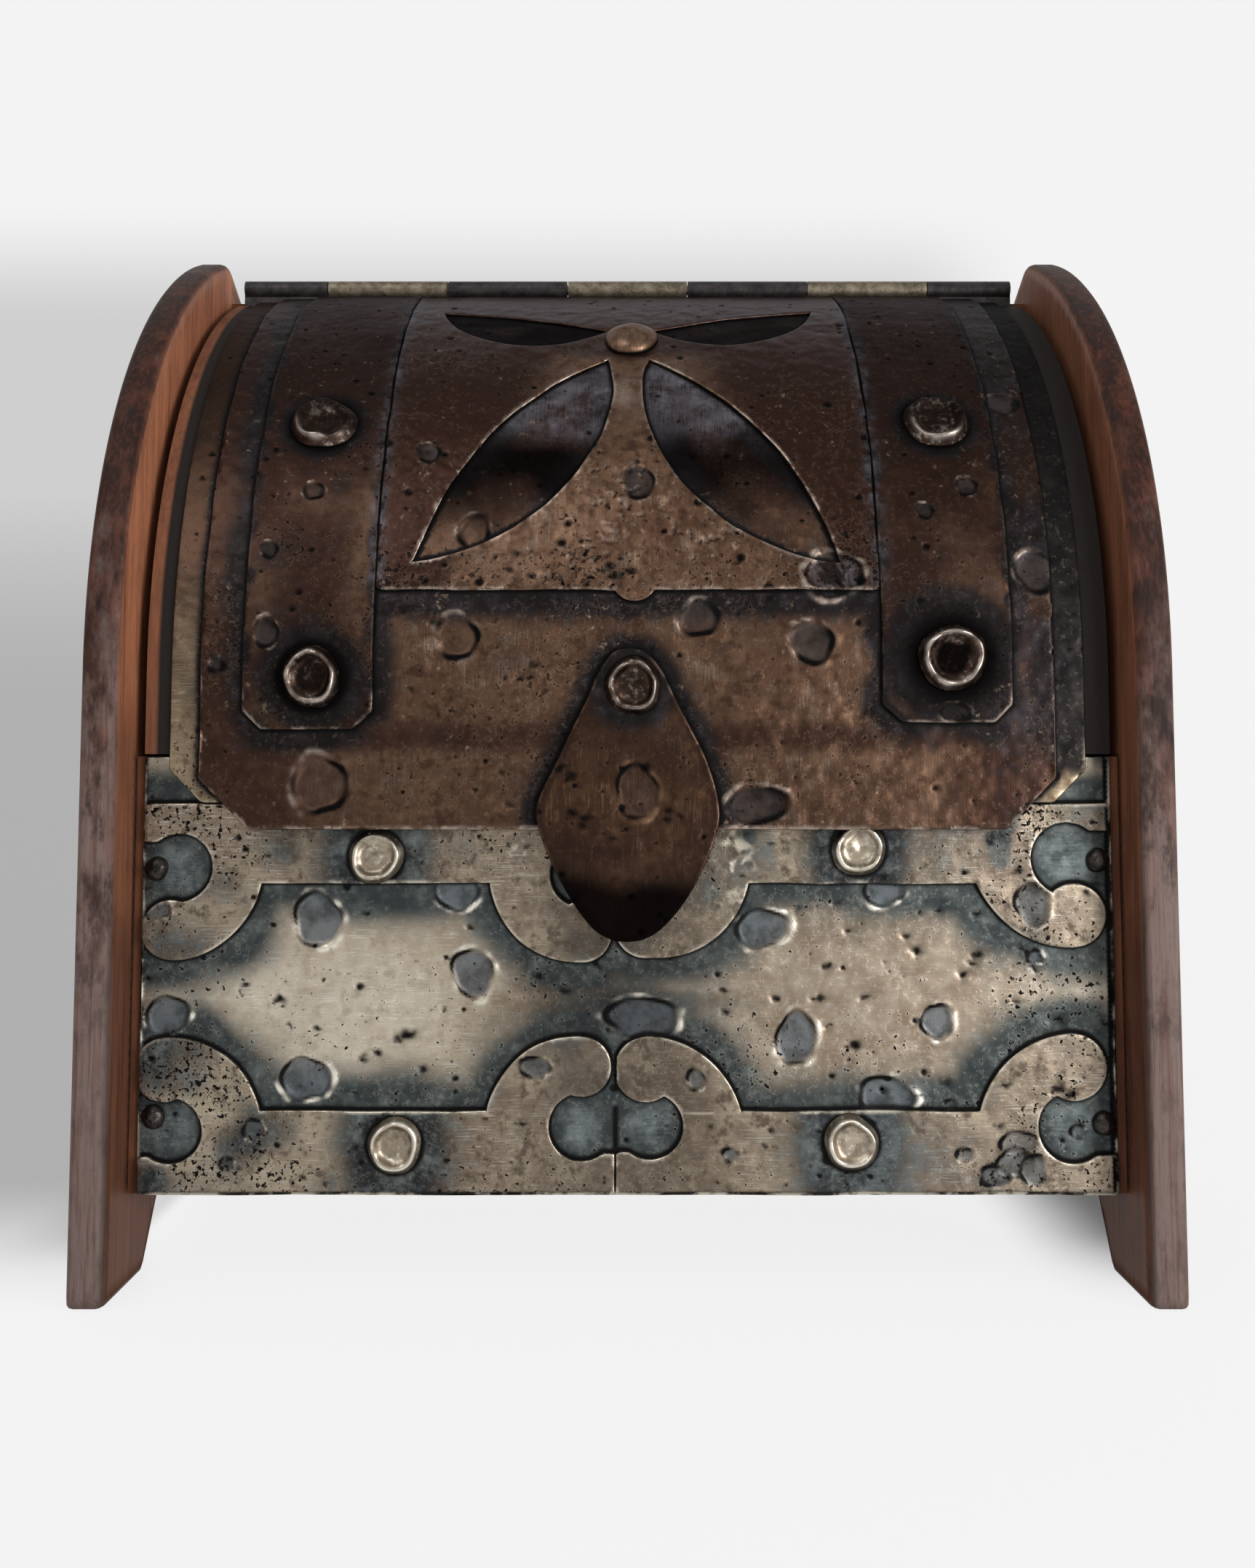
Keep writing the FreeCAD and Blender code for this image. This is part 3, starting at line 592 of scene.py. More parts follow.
def aged_metal(name, tones, gloss=0.38, streak=(14, 14, 0.6), ragged=0.3, sparks=0.0, rubbed=0.7,
               grazing=(1.0, 1.0, 1.0, 1.0), haze=(118, 114, 122), blotchy=0.7, hammered=5.0,
               lustre=0.8, brushing=0.45, crust=0.6, inky=0.9, bare=None):
    """Tones are the bright metal, its ground, the browner clouds, the dark brown, the patina dark
    and pale, and the pebbles. The marks are: tarnish and deepen for the two kinds of darkening,
    deepen also standing for painted dark reflection over the top of the lid and painted shade in
    its crease; dent and pit for hammer marks; speckle for how densely the sheet is flecked; line
    for dirt in a corner and painted contact shade where parts meet; shade for soot, painted shade
    and painted dark reflection; bloom for a bluish haze; crest for pale raised spots, chiefly
    thrown-up metal brightened by a painted highlight; and rim. Sparks is how many pale specks there
    are, rubbed how bright the rims are, grazing the tint of reflections along the surface, haze the
    colour of the bloom, blotchy how much dull patches show, hammered how wavy the sheet is, lustre
    and brushing how bright and how streaky the untarnished metal is, crust how pale the patina's
    mottling is, inky how black the flecks are and bare the colour of the rubbed rims where that
    isn't the bright one."""
    bright, ground, brown, deep, patina, pale, pebble = (tone(*part) for part in tones)
    worn_to = tone(*bare) if bare else bright
    finish = Finish(name)
    tarnish, deepen, dent, pit, speckle, line, shade, bloom, crest, rim = map(finish.mark, MARKS)
    brushed = finish.clouds(0.4, streak, detail=3, rough=0.6)
    broad = finish.clouds(24, detail=3)
    middling = finish.clouds(6, detail=6, rough=0.62)
    mottle = finish.clouds(2.6, detail=5, rough=0.6)
    hammer = finish.clouds(5, detail=1)
    grain = finish.clouds(0.5, detail=3, rough=0.6)

    # small flecks in clusters, each with a burr beside it
    chip = finish.clouds(1.2, detail=4, rough=0.6) + speckle * 0.17
    nick = finish.clouds(0.6, detail=2) + speckle * 0.1
    flecks = (chip.step(0.69, 0.78) + nick.step(0.73, 0.8) * 0.7).step(0.0, 0.95)
    burr = chip.step(0.6, 0.66) * chip.step(0.66, 0.72, 1.0, 0.0)

    # the metal itself, from bright to brown
    wear = finish.blend((broad * 0.55 + middling * 0.55 + brushed * 0.25).step(0.5, 0.85), ground, brown)
    gleam = brushed * brushing + mottle * 0.25 + middling * (0.75 - brushing)
    lit = finish.blend(gleam.step(0.5, 0.66) * lustre, wear, bright)
    dull = finish.blend((mottle * 0.5 + middling * 0.5).step(0.38, 0.5, blotchy, 0.0), lit, deep)
    low = finish.blend((deepen + (middling - 0.5) * 0.9).step(0.05, 0.95), dull, deep)

    # patina over it, then haze, pale sparks, pebbles, dirt with painted contact shade, rubbed rims
    # with painted highlights on the crests, and soot with painted shade and painted dark reflection
    mottled = finish.blend((middling * 0.6 + mottle * 0.4).step(0.42, 0.72) * crust, patina, pale)
    cover = (tarnish + (middling - 0.5) * ragged + (mottle - 0.5) * ragged).step(0.12, 0.75)
    aged = finish.blend(cover, low, mottled)
    glint = finish.clouds(2.2, detail=5, rough=0.62) + sparks * 0.1
    spark = glint.step(0.68, 0.8) * broad.step(0.4, 0.6) * sparks
    misty = (brushed * 0.25 + middling * 0.5 + mottle * 0.25).step(0.36, 0.64)
    hazed = finish.blend(bloom * misty, aged, tone(*haze))
    sparkled = finish.blend((spark + burr * 0.08) * (1 - dent), hazed, bright)
    marked = finish.blend(dent * 0.9, sparkled, finish.blend(middling.step(0.4, 0.65), pebble, patina))
    # black: pits, flecks and dirt, with painted contact shade along the line mark
    black = (line * 1.2 + pit * 0.9 + flecks * inky).step(0.05, 0.95)
    pitted = finish.blend(black, marked, GRIME_AND_SHADE)
    # rims rubbed bright, and crests brightened by a painted highlight
    worn_and_highlit = (rim * middling.step(0.42, 0.58, 0.15, 1.0) * rubbed + crest * (1 - line)).step(0.0, 1.0)
    polished_and_highlit = finish.blend(worn_and_highlit, pitted, worn_to)

    rough = gloss + cover * 0.06 + dent * 0.08 + black * 0.15 - worn_and_highlit * 0.1 + shade * 0.45
    # soot, painted shade and painted dark reflection where the shade mark says so
    finish.set(Base_Color=finish.blend(shade, polished_and_highlit, SOOT_AND_SHADE),
               Metallic=(1 - cover * 0.12) - dent * 0.2,
               Roughness=rough + (grain - 0.5) * 0.16,
               Specular_Tint=grazing)
    finish.bump(brushed * 0.15 + hammer * hammered + middling * 0.6 + grain * 0.1 - flecks * 1.4
                + burr * 0.12, 0.12)
    return finish


print("marks of the metal:", *MARKS)


# %% Brass and copper
DULL = (0.72, 0.72, 0.74, 1.0)
COPPER_DARK, COPPER_PALE = (26, 22, 22), (62, 56, 58)
CROSSWISE = (0.6, 16, 16)
brass = aged_metal(
    "aged_brass", [(232, 226, 212), (206, 195, 177), (164, 148, 128), (124, 107, 90), (52, 57, 58),
                   (122, 129, 124), (97, 102, 106)],
    haze=(112, 120, 121), blotchy=0.4, hammered=2.0, crust=0.55)
band_brass = aged_metal(
    "band_brass", [(214, 204, 186), (168, 154, 134), (122, 106, 92), (88, 76, 66), (38, 40, 42),
                   (116, 122, 120), (90, 94, 96)],
    ragged=0.6, blotchy=0.9, hammered=3.0, crust=0.8, haze=(100, 108, 110))
under_brass = aged_metal(
    "under_brass", [(190, 176, 150), (150, 134, 110), (112, 93, 75), (78, 58, 47), (26, 24, 24),
                    (66, 60, 56), (70, 66, 64)],
    ragged=0.5, grazing=DULL, crust=0.4, inky=0.7)
copper = aged_metal(
    "aged_copper", [(160, 138, 118), (108, 84, 67), (82, 59, 46), (54, 37, 31), COPPER_DARK,
                    COPPER_PALE, (58, 50, 47)],
    streak=CROSSWISE, ragged=0.6, sparks=0.68, rubbed=0.85, grazing=DULL, lustre=0.6, brushing=0.25,
    inky=0.6, bare=(158, 142, 130))
print("metals:", [metal.material.name for metal in (brass, band_brass, under_brass, copper)])

# %% [markdown]
# ## Finish of the wood
# Dark oiled hardwood: fine streaks along the grain, which runs up the boards, broader
# bands of light and dark, and arrises rubbed to a greyish mauve. The streaks are noise
# drawn out along the height.


# %% Oiled wood
CHIPS_HIGH, GRUBBY = tone(122, 72, 50), tone(30, 20, 17)
JOINT_IN, JOINT_OUT = 107.3, 108.5
OUTER_FACE = (110, 114)


def oiled_wood(name, face_light, face_dark, edge_high, edge_low, gloss=0.45, shade_right_of=None,
               shade_and_soil=(16, 12, 11)):
    """The boards' side faces are orange-brown; their edges are nearly black above, greyish below.
    The mesh's mark paints shade and dirt on the inner faces. Where a place across is given, in
    millimetres, the piece is instead painted in shade over its outer surface right of that place;
    the last argument is the colour of that shade and dirt."""
    face_light, face_dark, edge_high, edge_low, shade_and_soil = (
        tone(*part) for part in (face_light, face_dark, edge_high, edge_low, shade_and_soil))
    finish = Finish(name)
    rim, shade_and_grime, height = (finish.mark(word) for word in ("rim", "shade_and_grime", "height"))
    across = finish.axis(0)
    # painted shade over the outer surface right of the given place, or else the mesh's painted shade and dirt
    # on the inner faces only
    if shade_right_of:
        outward = finish.node("VectorMath", {"operation": "LENGTH"}, {
            0: (finish.place - (0.0, DOME_Y * MM, DOME_Z * MM)) * (0.0, 1.0, 1.0)}, "Value")
        shade_and_grime = (across.step((shade_right_of - 0.5) * MM, (shade_right_of + 0.5) * MM)
                 * outward.step((SHELL_RADIUS - 5) * MM, (SHELL_RADIUS - 4) * MM))
    else:
        shade_and_grime = shade_and_grime * (across * across).step((JOINT_IN * MM) ** 2, (JOINT_OUT * MM) ** 2, 1.0, 0.0)
    streak = finish.clouds(0.8, (1, 1, 30), detail=5, rough=0.65)
    band = finish.clouds(2.5, (1, 1, 30), detail=3)
    blotch = finish.clouds(14, (1, 1, 2.2), detail=6, rough=0.65)
    broad = finish.clouds(20, (1, 1, 5), detail=2)
    scuff = finish.clouds(3, (1, 1, 2.5), detail=6, rough=0.7)
    pore = finish.clouds(0.3, (1, 1, 12), detail=2)
    nick = finish.clouds(1.1, (1, 1, 1.8), detail=5, rough=0.65)
    rubbed = finish.clouds(5, (1, 1, 3.2), detail=6, rough=0.6)

    outside = (across * across).step(*((face * MM) ** 2 for face in OUTER_FACE), 0.0, 0.3)
    grained = (streak * 0.4 + band * 0.5 + broad * 0.5).step(0.5, 1.0)
    face = finish.blend(grained * 0.8 + outside, face_light, face_dark)
    climb = (height + (blotch - 0.5) * 1.6 + (scuff - 0.5) * 0.9).step(0.25, 0.9)
    body = finish.blend(rim, face, finish.blend(climb, edge_low, edge_high))
    streaked = finish.blend(streak.step(0.45, 0.65) * (0.2 + rim * 0.4), body, face_dark)
    dirt = (scuff * 0.6 + blotch * 0.5).step(0.52, 0.66) * (0.2 + rim * (0.15 + height * 0.6))
    dirty = finish.blend(dirt, streaked, GRUBBY)
    chips = (rubbed.step(0.46, 0.7) * 0.5 + nick.step(0.62, 0.72) * 0.15) * rim * (1 - height * height * 0.65)
    chipped = finish.blend(chips, dirty, finish.blend(height, edge_low, CHIPS_HIGH))
    # blacken where the painted shade and dirt lie
    blackened = finish.blend(shade_and_grime, chipped, shade_and_soil)
    finish.set(Base_Color=finish.blend(pore.step(0.6, 0.75, 0.0, 0.3), blackened, face_dark),
               Roughness=gloss + (1 - streak) * 0.25, Specular_IOR_Level=0.15)
    finish.bump(streak * 0.7 + pore * 0.4 + nick * 0.5 + scuff * 0.8, 0.12)
    return finish


print("wood recipe ready")


# %% The woods
# the lid's shell is painted in shade over its outer surface right of SHELL_EDGE, so only its left end shows
# as wood
SHELL_EDGE = -102.0
board_wood = oiled_wood("board_wood", (164, 106, 76), (76, 42, 32), (38, 18, 12), (106, 90, 85))
inner_wood = oiled_wood("inner_wood", (110, 68, 46), (60, 36, 28), (90, 60, 44), (90, 60, 44), 0.6)
shell_wood = oiled_wood("shell_wood", (124, 80, 57), (72, 42, 32), (60, 34, 26), (60, 34, 26), 0.6,
                        shade_right_of=SHELL_EDGE, shade_and_soil=(30, 26, 24))
print("woods:", [wood.material.name for wood in (board_wood, inner_wood, shell_wood)])

# %% [markdown]
# ## Finish of the small fittings
# The hinge's knuckles, its pin and the nails are too small for the full recipe. Two tones
# in a soft cloud and a fine grain are enough to keep them from looking cast in plastic.


# %% Small fittings
def plain_metal(name, light, dark, metallic, gloss):
    """Small fittings: two tones and a fine grain."""
    finish = Finish(name)
    cloud = finish.clouds(2.2, detail=4)
    grain = finish.clouds(0.4, detail=2)
    finish.set(Base_Color=finish.blend((cloud * 0.8 + grain * 0.4).step(0.4, 0.8), tone(*light), tone(*dark)),
               Metallic=metallic, Roughness=gloss + (grain - 0.5) * 0.15)
    finish.bump(cloud + grain * 0.5, 0.08)
    return finish


dark_knuckle = plain_metal("dark_knuckle", (60, 54, 54), (26, 24, 25), 0.6, 0.5)
pale_knuckle = plain_metal("pale_knuckle", (134, 124, 106), (84, 74, 62), 0.8, 0.5)
pin_steel = plain_metal("pin_steel", (150, 148, 142), (96, 94, 90), 1.0, 0.35)
black_pin = plain_metal("black_pin", (66, 60, 56), (22, 20, 20), 0.8, 0.3)
print("fittings ready")

# %% [markdown]
# ## End boards
# Each end board is one shaped plank: straight in front, a big arc over the top, a short
# slope down to the back and a notch that leaves two feet. The same sheet cutter makes
# it, with a thick gauge and both faces rounded, lying in the plane of depth and height.

# %% The outline of an end board
PEAK_ROUND = 8.0
REAR_SLOPE = math.radians(24)
PEAK_ANGLE = math.radians(66.3)
FOOT_INNER, FOOT_LEAN = 30.0, 14.0
BOARD_GAUGE = 8.0
peak_y = DOME_Y - (CROWN_RADIUS - PEAK_ROUND) * math.cos(PEAK_ANGLE)
peak_z = DOME_Z + (CROWN_RADIUS - PEAK_ROUND) * math.sin(PEAK_ANGLE)


def board_field(y, z):
    edge = np.where(z > DOME_Z, np.hypot(y - DOME_Y, z - DOME_Z) - CROWN_RADIUS, board_low.y - y)
    fall = (y - peak_y) * math.sin(REAR_SLOPE) + (z - peak_z) * math.cos(REAR_SLOPE) - PEAK_ROUND
    corner = np.hypot(y - peak_y, z - peak_z) - PEAK_ROUND
    in_corner = ((y - peak_y) > -(z - peak_z) / math.tan(PEAK_ANGLE)) & \
                ((y - peak_y) < (z - peak_z) * math.tan(REAR_SLOPE)) & (z > peak_z)
    over = np.where(in_corner, corner, np.maximum(edge, fall))
    sides = np.maximum(np.maximum(y - board_high.y, -z), over)
    lean = FOOT_LEAN / FLOOR_GAP
    arch = np.maximum(z - FLOOR_GAP, (np.abs(y) - (FOOT_INNER - z * lean)) / math.hypot(1, lean))
    return np.maximum(sides, -arch)


print(f"peak of the boards at y {peak_y:.1f}, z {peak_z:.1f}")

# %% The two end boards
BOX_TOP = DOME_Z - 18
ARRIS = 1.7


def board_shade_and_grime(y, z):
    """Black painted shade where the boards meet the box, and darker below the dome's spring line
    and darker still low down.
    """
    beside = 0.95 * (1 - smooth(CLAD_FACE - y, 0.3, 1.9)) * (z < BOX_TOP)
    beside = beside * smooth(z, FLOOR_GAP - 3, FLOOR_GAP + 2)
    return np.maximum(beside, 0.42 * smooth(-z, -DOME_Z, 20 - DOME_Z) + 0.24 * smooth(-z, -90, -70))


def wooden_end(name, outer_x, side):
    """One end board; side is -1 on the left."""
    def place(y, z, height):
        return (outer_x + side * height, y, z)

    # painted shade where the boards meet the box and on the right board's inner face, which is turned away
    # from the lamp, and darker low down
    def shade_and_grime(y, z):
        return most(board_shade_and_grime(y, z), 0.5 * (side > 0) * (board_field(y, z) < -1))

    piece = cut_sheet(name, board_field, (board_low.y, board_high.y, 0, board_high.z), place,
                      BOARD_GAUGE, step=ARRIS, rim=ARRIS, round_back=True,
                      marks={"rim": lambda y, z: smooth(board_field(y, z), -1.5, -0.5),
                             "height": lambda y, z: smooth(z, 10, 200), "shade_and_grime": shade_and_grime})
    if side < 0:
        piece.data.flip_normals()
    return piece


for side, node in ((-1, "left_end_board"), (1, "right_end_board")):
    edge_x = low_high(node)[0 if side < 0 else 1].x
    dress(wooden_end(node.replace("board", "plank"), edge_x, side), "box", "dark_wood", board_wood, node)

# %% [markdown]
# ## Bands on the front
# The two bands are each two mirrored halves. A half is a strip with a scroll at the
# corner and another next to the middle seam: a big disc, an eye cut out at its centre
# and the small disc of the curled end, laid over the eye. The field is built just so.

# %% The outline of a scroll band
SEAM = -2.6
UPPER_STRIP = (86.0, 103.4)
LOWER_STRIP = (20.2, 37.8)
BEYOND = 120
# for each half: the middle scroll, then the corner scroll. A scroll is the centre and radius of its
# big arc, of its eye and of its curled end.
SCROLLS = {
    "upper_band_left": [((-10.6, 88.7, 19.6), (-9.8, 88.0, 7.0), (-9.9, 75.6, 6.5)),
                        ((-98.8, 89.6, 20.1), (-97.2, 89.3, 7.3), (-98.6, 76.0, 6.4))],
    "upper_band_right": [((6.5, 90.2, 20.2), (4.7, 89.0, 7.0), (3.8, 76.6, 6.6)),
                         ((97.0, 95.8, 23.8), (95.1, 91.2, 7.8), (96.5, 79.1, 6.9))],
    "lower_band_left": [((-10.6, 33.5, 20.1), (-9.8, 34.3, 7.0), (-9.9, 47.0, 6.5)),
                        ((-98.5, 32.7, 20.6), (-98.0, 33.6, 6.9), (-99.2, 46.4, 6.8))],
    "lower_band_right": [((4.0, 32.4, 21.0), (4.7, 34.6, 7.0), (3.8, 46.4, 6.8)),
                         ((96.6, 32.0, 22.1), (95.5, 34.2, 7.5), (95.7, 46.9, 7.1))],
}


def scroll_band(name, number):
    """Half a band: the strip, its two scrolls, the eyes cut out and the curled ends laid over them."""
    side = -1 if name.endswith("left") else 1
    strip, way = (UPPER_STRIP, -1) if name.startswith("upper") else (LOWER_STRIP, 1)
    edge = strip[0] if way < 0 else strip[1]
    near, far = sorted((side * (CLAD_HALF - 0.3), SEAM + side * 0.15))
    reach = panel(near, far, strip[0] - 30, strip[1] + 30)
    solid, holes, curls = [panel(near, far, *strip)], [], []
    for place, (big, eye, curl) in enumerate(SCROLLS[name]):
        outwards = side if place else -side
        beyond = lambda x, y: (edge - y) * way - 1
        inner_side = lambda x, y, curl=curl, outwards=outwards: (x - curl[0]) * outwards
        solid.append(overlap(disc(*big), reach, beyond, inner_side))
        holes.append(disc(*eye))
        ends = sorted((eye[0], side * BEYOND if place else SEAM))
        holes.append(panel(*ends, eye[1] - eye[2] * 0.78, eye[1] + eye[2] * 0.78))
        curls.append(overlap(disc(*curl), reach))
    return hand_cut(union(less(union(*solid), *holes), *curls), 0.2, 9, 5 + number)


BAND_GAUGE = 0.9
band_fields = {name: scroll_band(name, number) for number, name in enumerate(SCROLLS)}
all_bands = union(*band_fields.values())
print("bands:", sorted(band_fields))

# %% [markdown]
# ## Age of the bands
# The bands hang lowest and are touched most, so they show everything at once: flecks in
# the corners, tarnish round the studs, a drip, crazing beside the pull and a splash of
# hammer marks at the lower right. Each is a small function of the place on the front.

# %% Tarnish and crazing of the bands
STUD_PLACES = [(-54.4, 91.8), (50.0, 93.6), (-49.7, 30.6), (47.7, 31.2)]
stud_area = union(*[disc(x, z, 6.2) for x, z in STUD_PLACES])


def band_speckle(x, y):
    """The corners are flecked most, the left one more than the right one."""
    corners = np.maximum(0.9 * smooth(-x, 45, 90), 0.7 * smooth(x, 55, 95))
    return 0.35 + 0.35 * drift(x, y, 10, 32) + corners * (0.4 + 0.45 * drift(x, y, 6, 34))


def band_tarnish(x, y):
    """Dark beside the studs and in patches, most of all on the left, and in a drip on the right."""
    beside = cast(lambda u, v: stud_area(u, v * 0.6 + np.where(v > 60, 92, 31) * 0.4), 9.0)(x, y)
    patches = 0.1 + 0.45 * np.maximum(drift(x, y, 10, 31), 0)
    patches = patches + 0.4 * smooth(-x, 60, 100) * (0.5 + drift(x, y, 7, 37))
    stain = 0.8 * spot(x, y, 25, 94, 5, 6) * (0.7 + drift(x, y, 4, 38))
    half = 0.5 + 0.28 * np.maximum(y - 84, 0)
    drip = 0.9 * np.exp(-((x - 80.5) / half) ** 4) * smooth(y, 88, 91)
    drip *= 0.8 + 0.5 * drift(x, y, 2.5, 45)
    return most(0.85 * beside, patches, stain, drip)


def crackle(x, y):
    """Pale crazing beside the pull."""
    beside = np.maximum(spot(x, y, 23, 90, 4.5, 9), 0.7 * spot(x, y, -23, 92, 3.5, 7))
    veins = np.abs(drift(x + drift(x, y, 1.5, 41), y * 0.6, 1.9, 39))
    return beside * (1 - smooth(veins, 0.06, 0.4)) * smooth(drift(x, y, 1.1, 42), -0.7, 0.1)


def ends_in_shade(x, y):
    """Painted shade where the ends of the sheets meet the boards, most of all on the right."""
    return 0.9 * smooth(x, 103.0, 103.8) + 0.8 * smooth(-x, 104.2, 104.8)


def some_pitting(x, y):
    """More pits on the left and in patches."""
    return 0.35 + 0.5 * drift(x, y, 14, 3) + 0.25 * smooth(-x, 20, 100)


print("studs on the bands:", len(STUD_PLACES))

# %% Dents of the bands
BAND_PEBBLES = [
    (14.6, 44.3, 2.0, 2.2, 0.8), (22.0, 28.5, 1.7, 1.5, 0.8), (71.9, 28.5, 1.8, 1.6, 0.8),
    (83.4, 30.8, 4.0, 2.8, 0.7, 0.2), (82.6, 26.6, 4.2, 3.2, 0.9, 0.2), (86.6, 25.2, 2.9, 3.3, 0.9, 0.5),
    (78.4, 24.0, 3.3, 2.2, 0.95, 0.7), (87.4, 81.6, 4.0, 4.5, 0.9, 0.7), (-19.8, 46.9, 3.2, 2.4, 0.9),
    (-79.9, 33.9, 2.4, 2.0, 0.5), (-85.5, 26.6, 1.6, 1.5, 0.9), (-101.5, 80.5, 3.0, 2.2, 0.9),
]
BAND_NICKS = [(79.9, 34.5, 1.0), (92.0, 42.6, 1.4), (94.4, 41.2, 1.3), (81.0, 43.5, 1.0), (84.4, 88.6, 1.0),
              (73.0, 88.4, 0.9), (99.0, 84.2, 0.8)]
BAND_NICKS += scattered(30, (-100, 100, 22, 36), 48, 0.4, 0.9)
BAND_NICKS += scattered(16, (-100, 100, 87, 96), 49, 0.4, 0.9)
band_dents = pebbles(BAND_PEBBLES, 0.35, 0.2)
band_nicks = smudges(BAND_NICKS)
print("nicks on the bands:", len(BAND_NICKS))

# %% The four half bands
for number, (node, field) in enumerate(sorted(band_fields.items())):
    band_pits = pits(420, (-105, 105, 20, 104), 40 + number, some_pitting)
    piece = cut_sheet(
        node + "_sheet", field, (-106, 106, 18, 106), on_front(CLAD_FACE - BAND_GAUGE), BAND_GAUGE,
        step=0.62, rim=0.35,
        height=lambda x, y: 0.10 * drift(x, y, 7, 8) + band_pits.height(x, y) + band_dents.height(x, y),
        marks={"tarnish": band_tarnish,
               "pit": lambda x, y: most(band_pits.dark(x, y), band_nicks(x, y)),
               "speckle": band_speckle,
               "dent": band_dents.dark,
               # crest: painted highlights on the pebbles' thrown-up edges, and pale crazing; line: painted
               # contact shade round the studs and at the sheets' ends, black along the bottom edge, and dirt
               # in the pebbles' edges
               "crest": lambda x, y: most(band_dents.crest(x, y), crackle(x, y)),
               "line": lambda x, y: most(0.8 * cast(stud_area, 0.5)(x, y), 0.9 * smooth(-y, -21.4, -20.6),
                                         band_dents.line(x, y), ends_in_shade(x, y)),
               "deepen": lambda x, y: 0.12 + 0.15 * smooth(x, 0, 50) + 0.5 * smooth(-np.abs(x), -34, -8),
               "bloom": lambda x, y: 0.7 * spot(x, y, 57, 29, 13, 8)})
    dress(piece, "box", "aged_brass", band_brass, node)

# %% [markdown]
# ## Cladding
# One brass sheet covers the front. Its pebble marks are few and large, so they are
# a list of places taken from the object. The patina is dark beside the bands and in
# the scrolls' eyes and fades towards the middle of each field.

# %% Dents of the cladding
CLAD_PEBBLES = [
    (-67.0, 78.2, 5.4, 5.6), (-33.4, 66.8, 4.5, 5.2), (-69.1, 44.4, 5.2, 4.7), (29.0, 76.3, 5.6, 4.3),
    (36.2, 52.9, 4.5, 5.6), (66.6, 56.4, 3.7, 3.6), (55.4, 40.7, 6.0, 4.0), (3.2, 57.3, 8.0, 4.2),
    (-37.0, 84.1, 4.6, 4.0), (55.5, 85.0, 4.6, 3.8), (-99.1, 57.7, 4.8, 4.2),
    (88.0, 70.2, 1.7, 1.6, 0.9, 1.6), (69.4, 38.9, 1.2, 1.2, 1.0, 0.5), (96.3, 33.2, 1.6, 1.5, 0.8, 0.5),
]
CLAD_NICKS = [
    (48.6, 51.7, 1.3), (72.7, 66.7, 1.2), (74.4, 68.6, 1.0), (62.7, 71.7, 1.1), (92.6, 56.7, 1.3),
    (51.1, 61.7, 1.1), (32.0, 61.7, 1.0), (42.8, 68.3, 1.2), (68.5, 43.4, 1.2), (-75.0, 61.2, 1.3),
    (-47.4, 53.7, 1.8), (-49.6, 52.6, 1.3), (-57.0, 48.5, 1.2), (-54.0, 50.0, 1.0), (-66.7, 55.0, 1.0),
    (-44.0, 46.5, 1.1), (-19.0, 66.0, 1.4), (-13.5, 63.0, 1.2),
]
clad_bounds = (-CLAD_HALF, CLAD_HALF, FLOOR_GAP, clad_high.z)
clad_dents = pebbles(CLAD_PEBBLES)
clad_nicks = smudges(CLAD_NICKS + scattered(34, (-94, 94, 41, 82), 47))
clad_pits = pits(320, clad_bounds, 12, lambda x, y: 0.5 + 0.6 * drift(x, y, 16, 4))
print("pebble marks on the cladding:", len(CLAD_PEBBLES))

# %% The cladding
CLAD_GAUGE = 0.9
eyes = union(*[disc(*scroll[1]) for pair in SCROLLS.values() for scroll in pair])


def clad_tarnish(x, y):
    """Dark beside the bands, in the eyes, between the middle scrolls and at the ends."""
    near = 1.1 * cast(all_bands, 8.5)(x, y) * (0.95 + 0.3 * drift(x, y, 11, 7))
    middle = 0.75 * spot(x, y, 1, 59, 24, 8)
    ends = 0.8 * smooth(np.abs(x), 92, 104) * (0.55 + 0.5 * drift(x, y, 7, 21))
    return most(near, 0.85 * (eyes(x, y) < 0), middle, ends, 0.06 + 0.18 * drift(x, y, 16, 9))


def clad_deepen(x, y):
    """Browner towards the right and in the middle."""
    right = 0.55 * smooth(x, -30, 40) * (1 - 0.6 * smooth(x, 70, 100))
    return np.maximum(right, spot(x, y, -10, 62, 20, 11))


def clad_height(x, y):
    """Gentle waves, pebbles and pits; each nick has a crest on its upper right."""
    relief = 0.10 * drift(x, y, 12, 6) + clad_dents.height(x, y) + clad_pits.height(x, y)
    return np.minimum(relief - 0.5 * clad_nicks(x, y) + 0.12 * clad_nicks(x - 0.9, y + 0.9), 0.5)


def clad_shade_and_dirt_line(x, y):
    """Painted contact shade: the bands lie in a black line, which is broader below them. The
    pebbles have dirt in their edges and the ends of the sheet lie in painted shade.
    """
    below = cast(lambda u, v: all_bands(u, v - 0.25), 0.7)
    return most(below(x, y), clad_dents.line(x, y), ends_in_shade(x, y))


cladding = cut_sheet(
    "cladding_sheet", hand_cut(panel(*clad_bounds), 0.1, 9, 2), clad_bounds, on_front(CLAD_FACE), CLAD_GAUGE,
    step=0.62, rim=0.3, height=clad_height,
    marks={"tarnish": clad_tarnish,
           "dent": clad_dents.dark,
           "pit": lambda x, y: most(clad_pits.dark(x, y),
                                    clad_nicks(x, y) * (1.05 + 0.3 * drift(x, y, 1.2, 40))),
           "speckle": lambda x, y: 0.25 + 0.45 * drift(x, y, 15, 36),
           "bloom": lambda x, y: 0.9 * smooth(-eyes(x, y), 0.8, 4.5),
           # crest: painted highlights on the pebbles' thrown-up edges
           "crest": clad_dents.crest,
           "deepen": clad_deepen,
           "shade": lambda x, y: 0.46 * spot(x, y, -2, 60, 27, 12),
           "line": clad_shade_and_dirt_line})
dress(cladding, "box", "aged_brass", brass, "front_cladding")

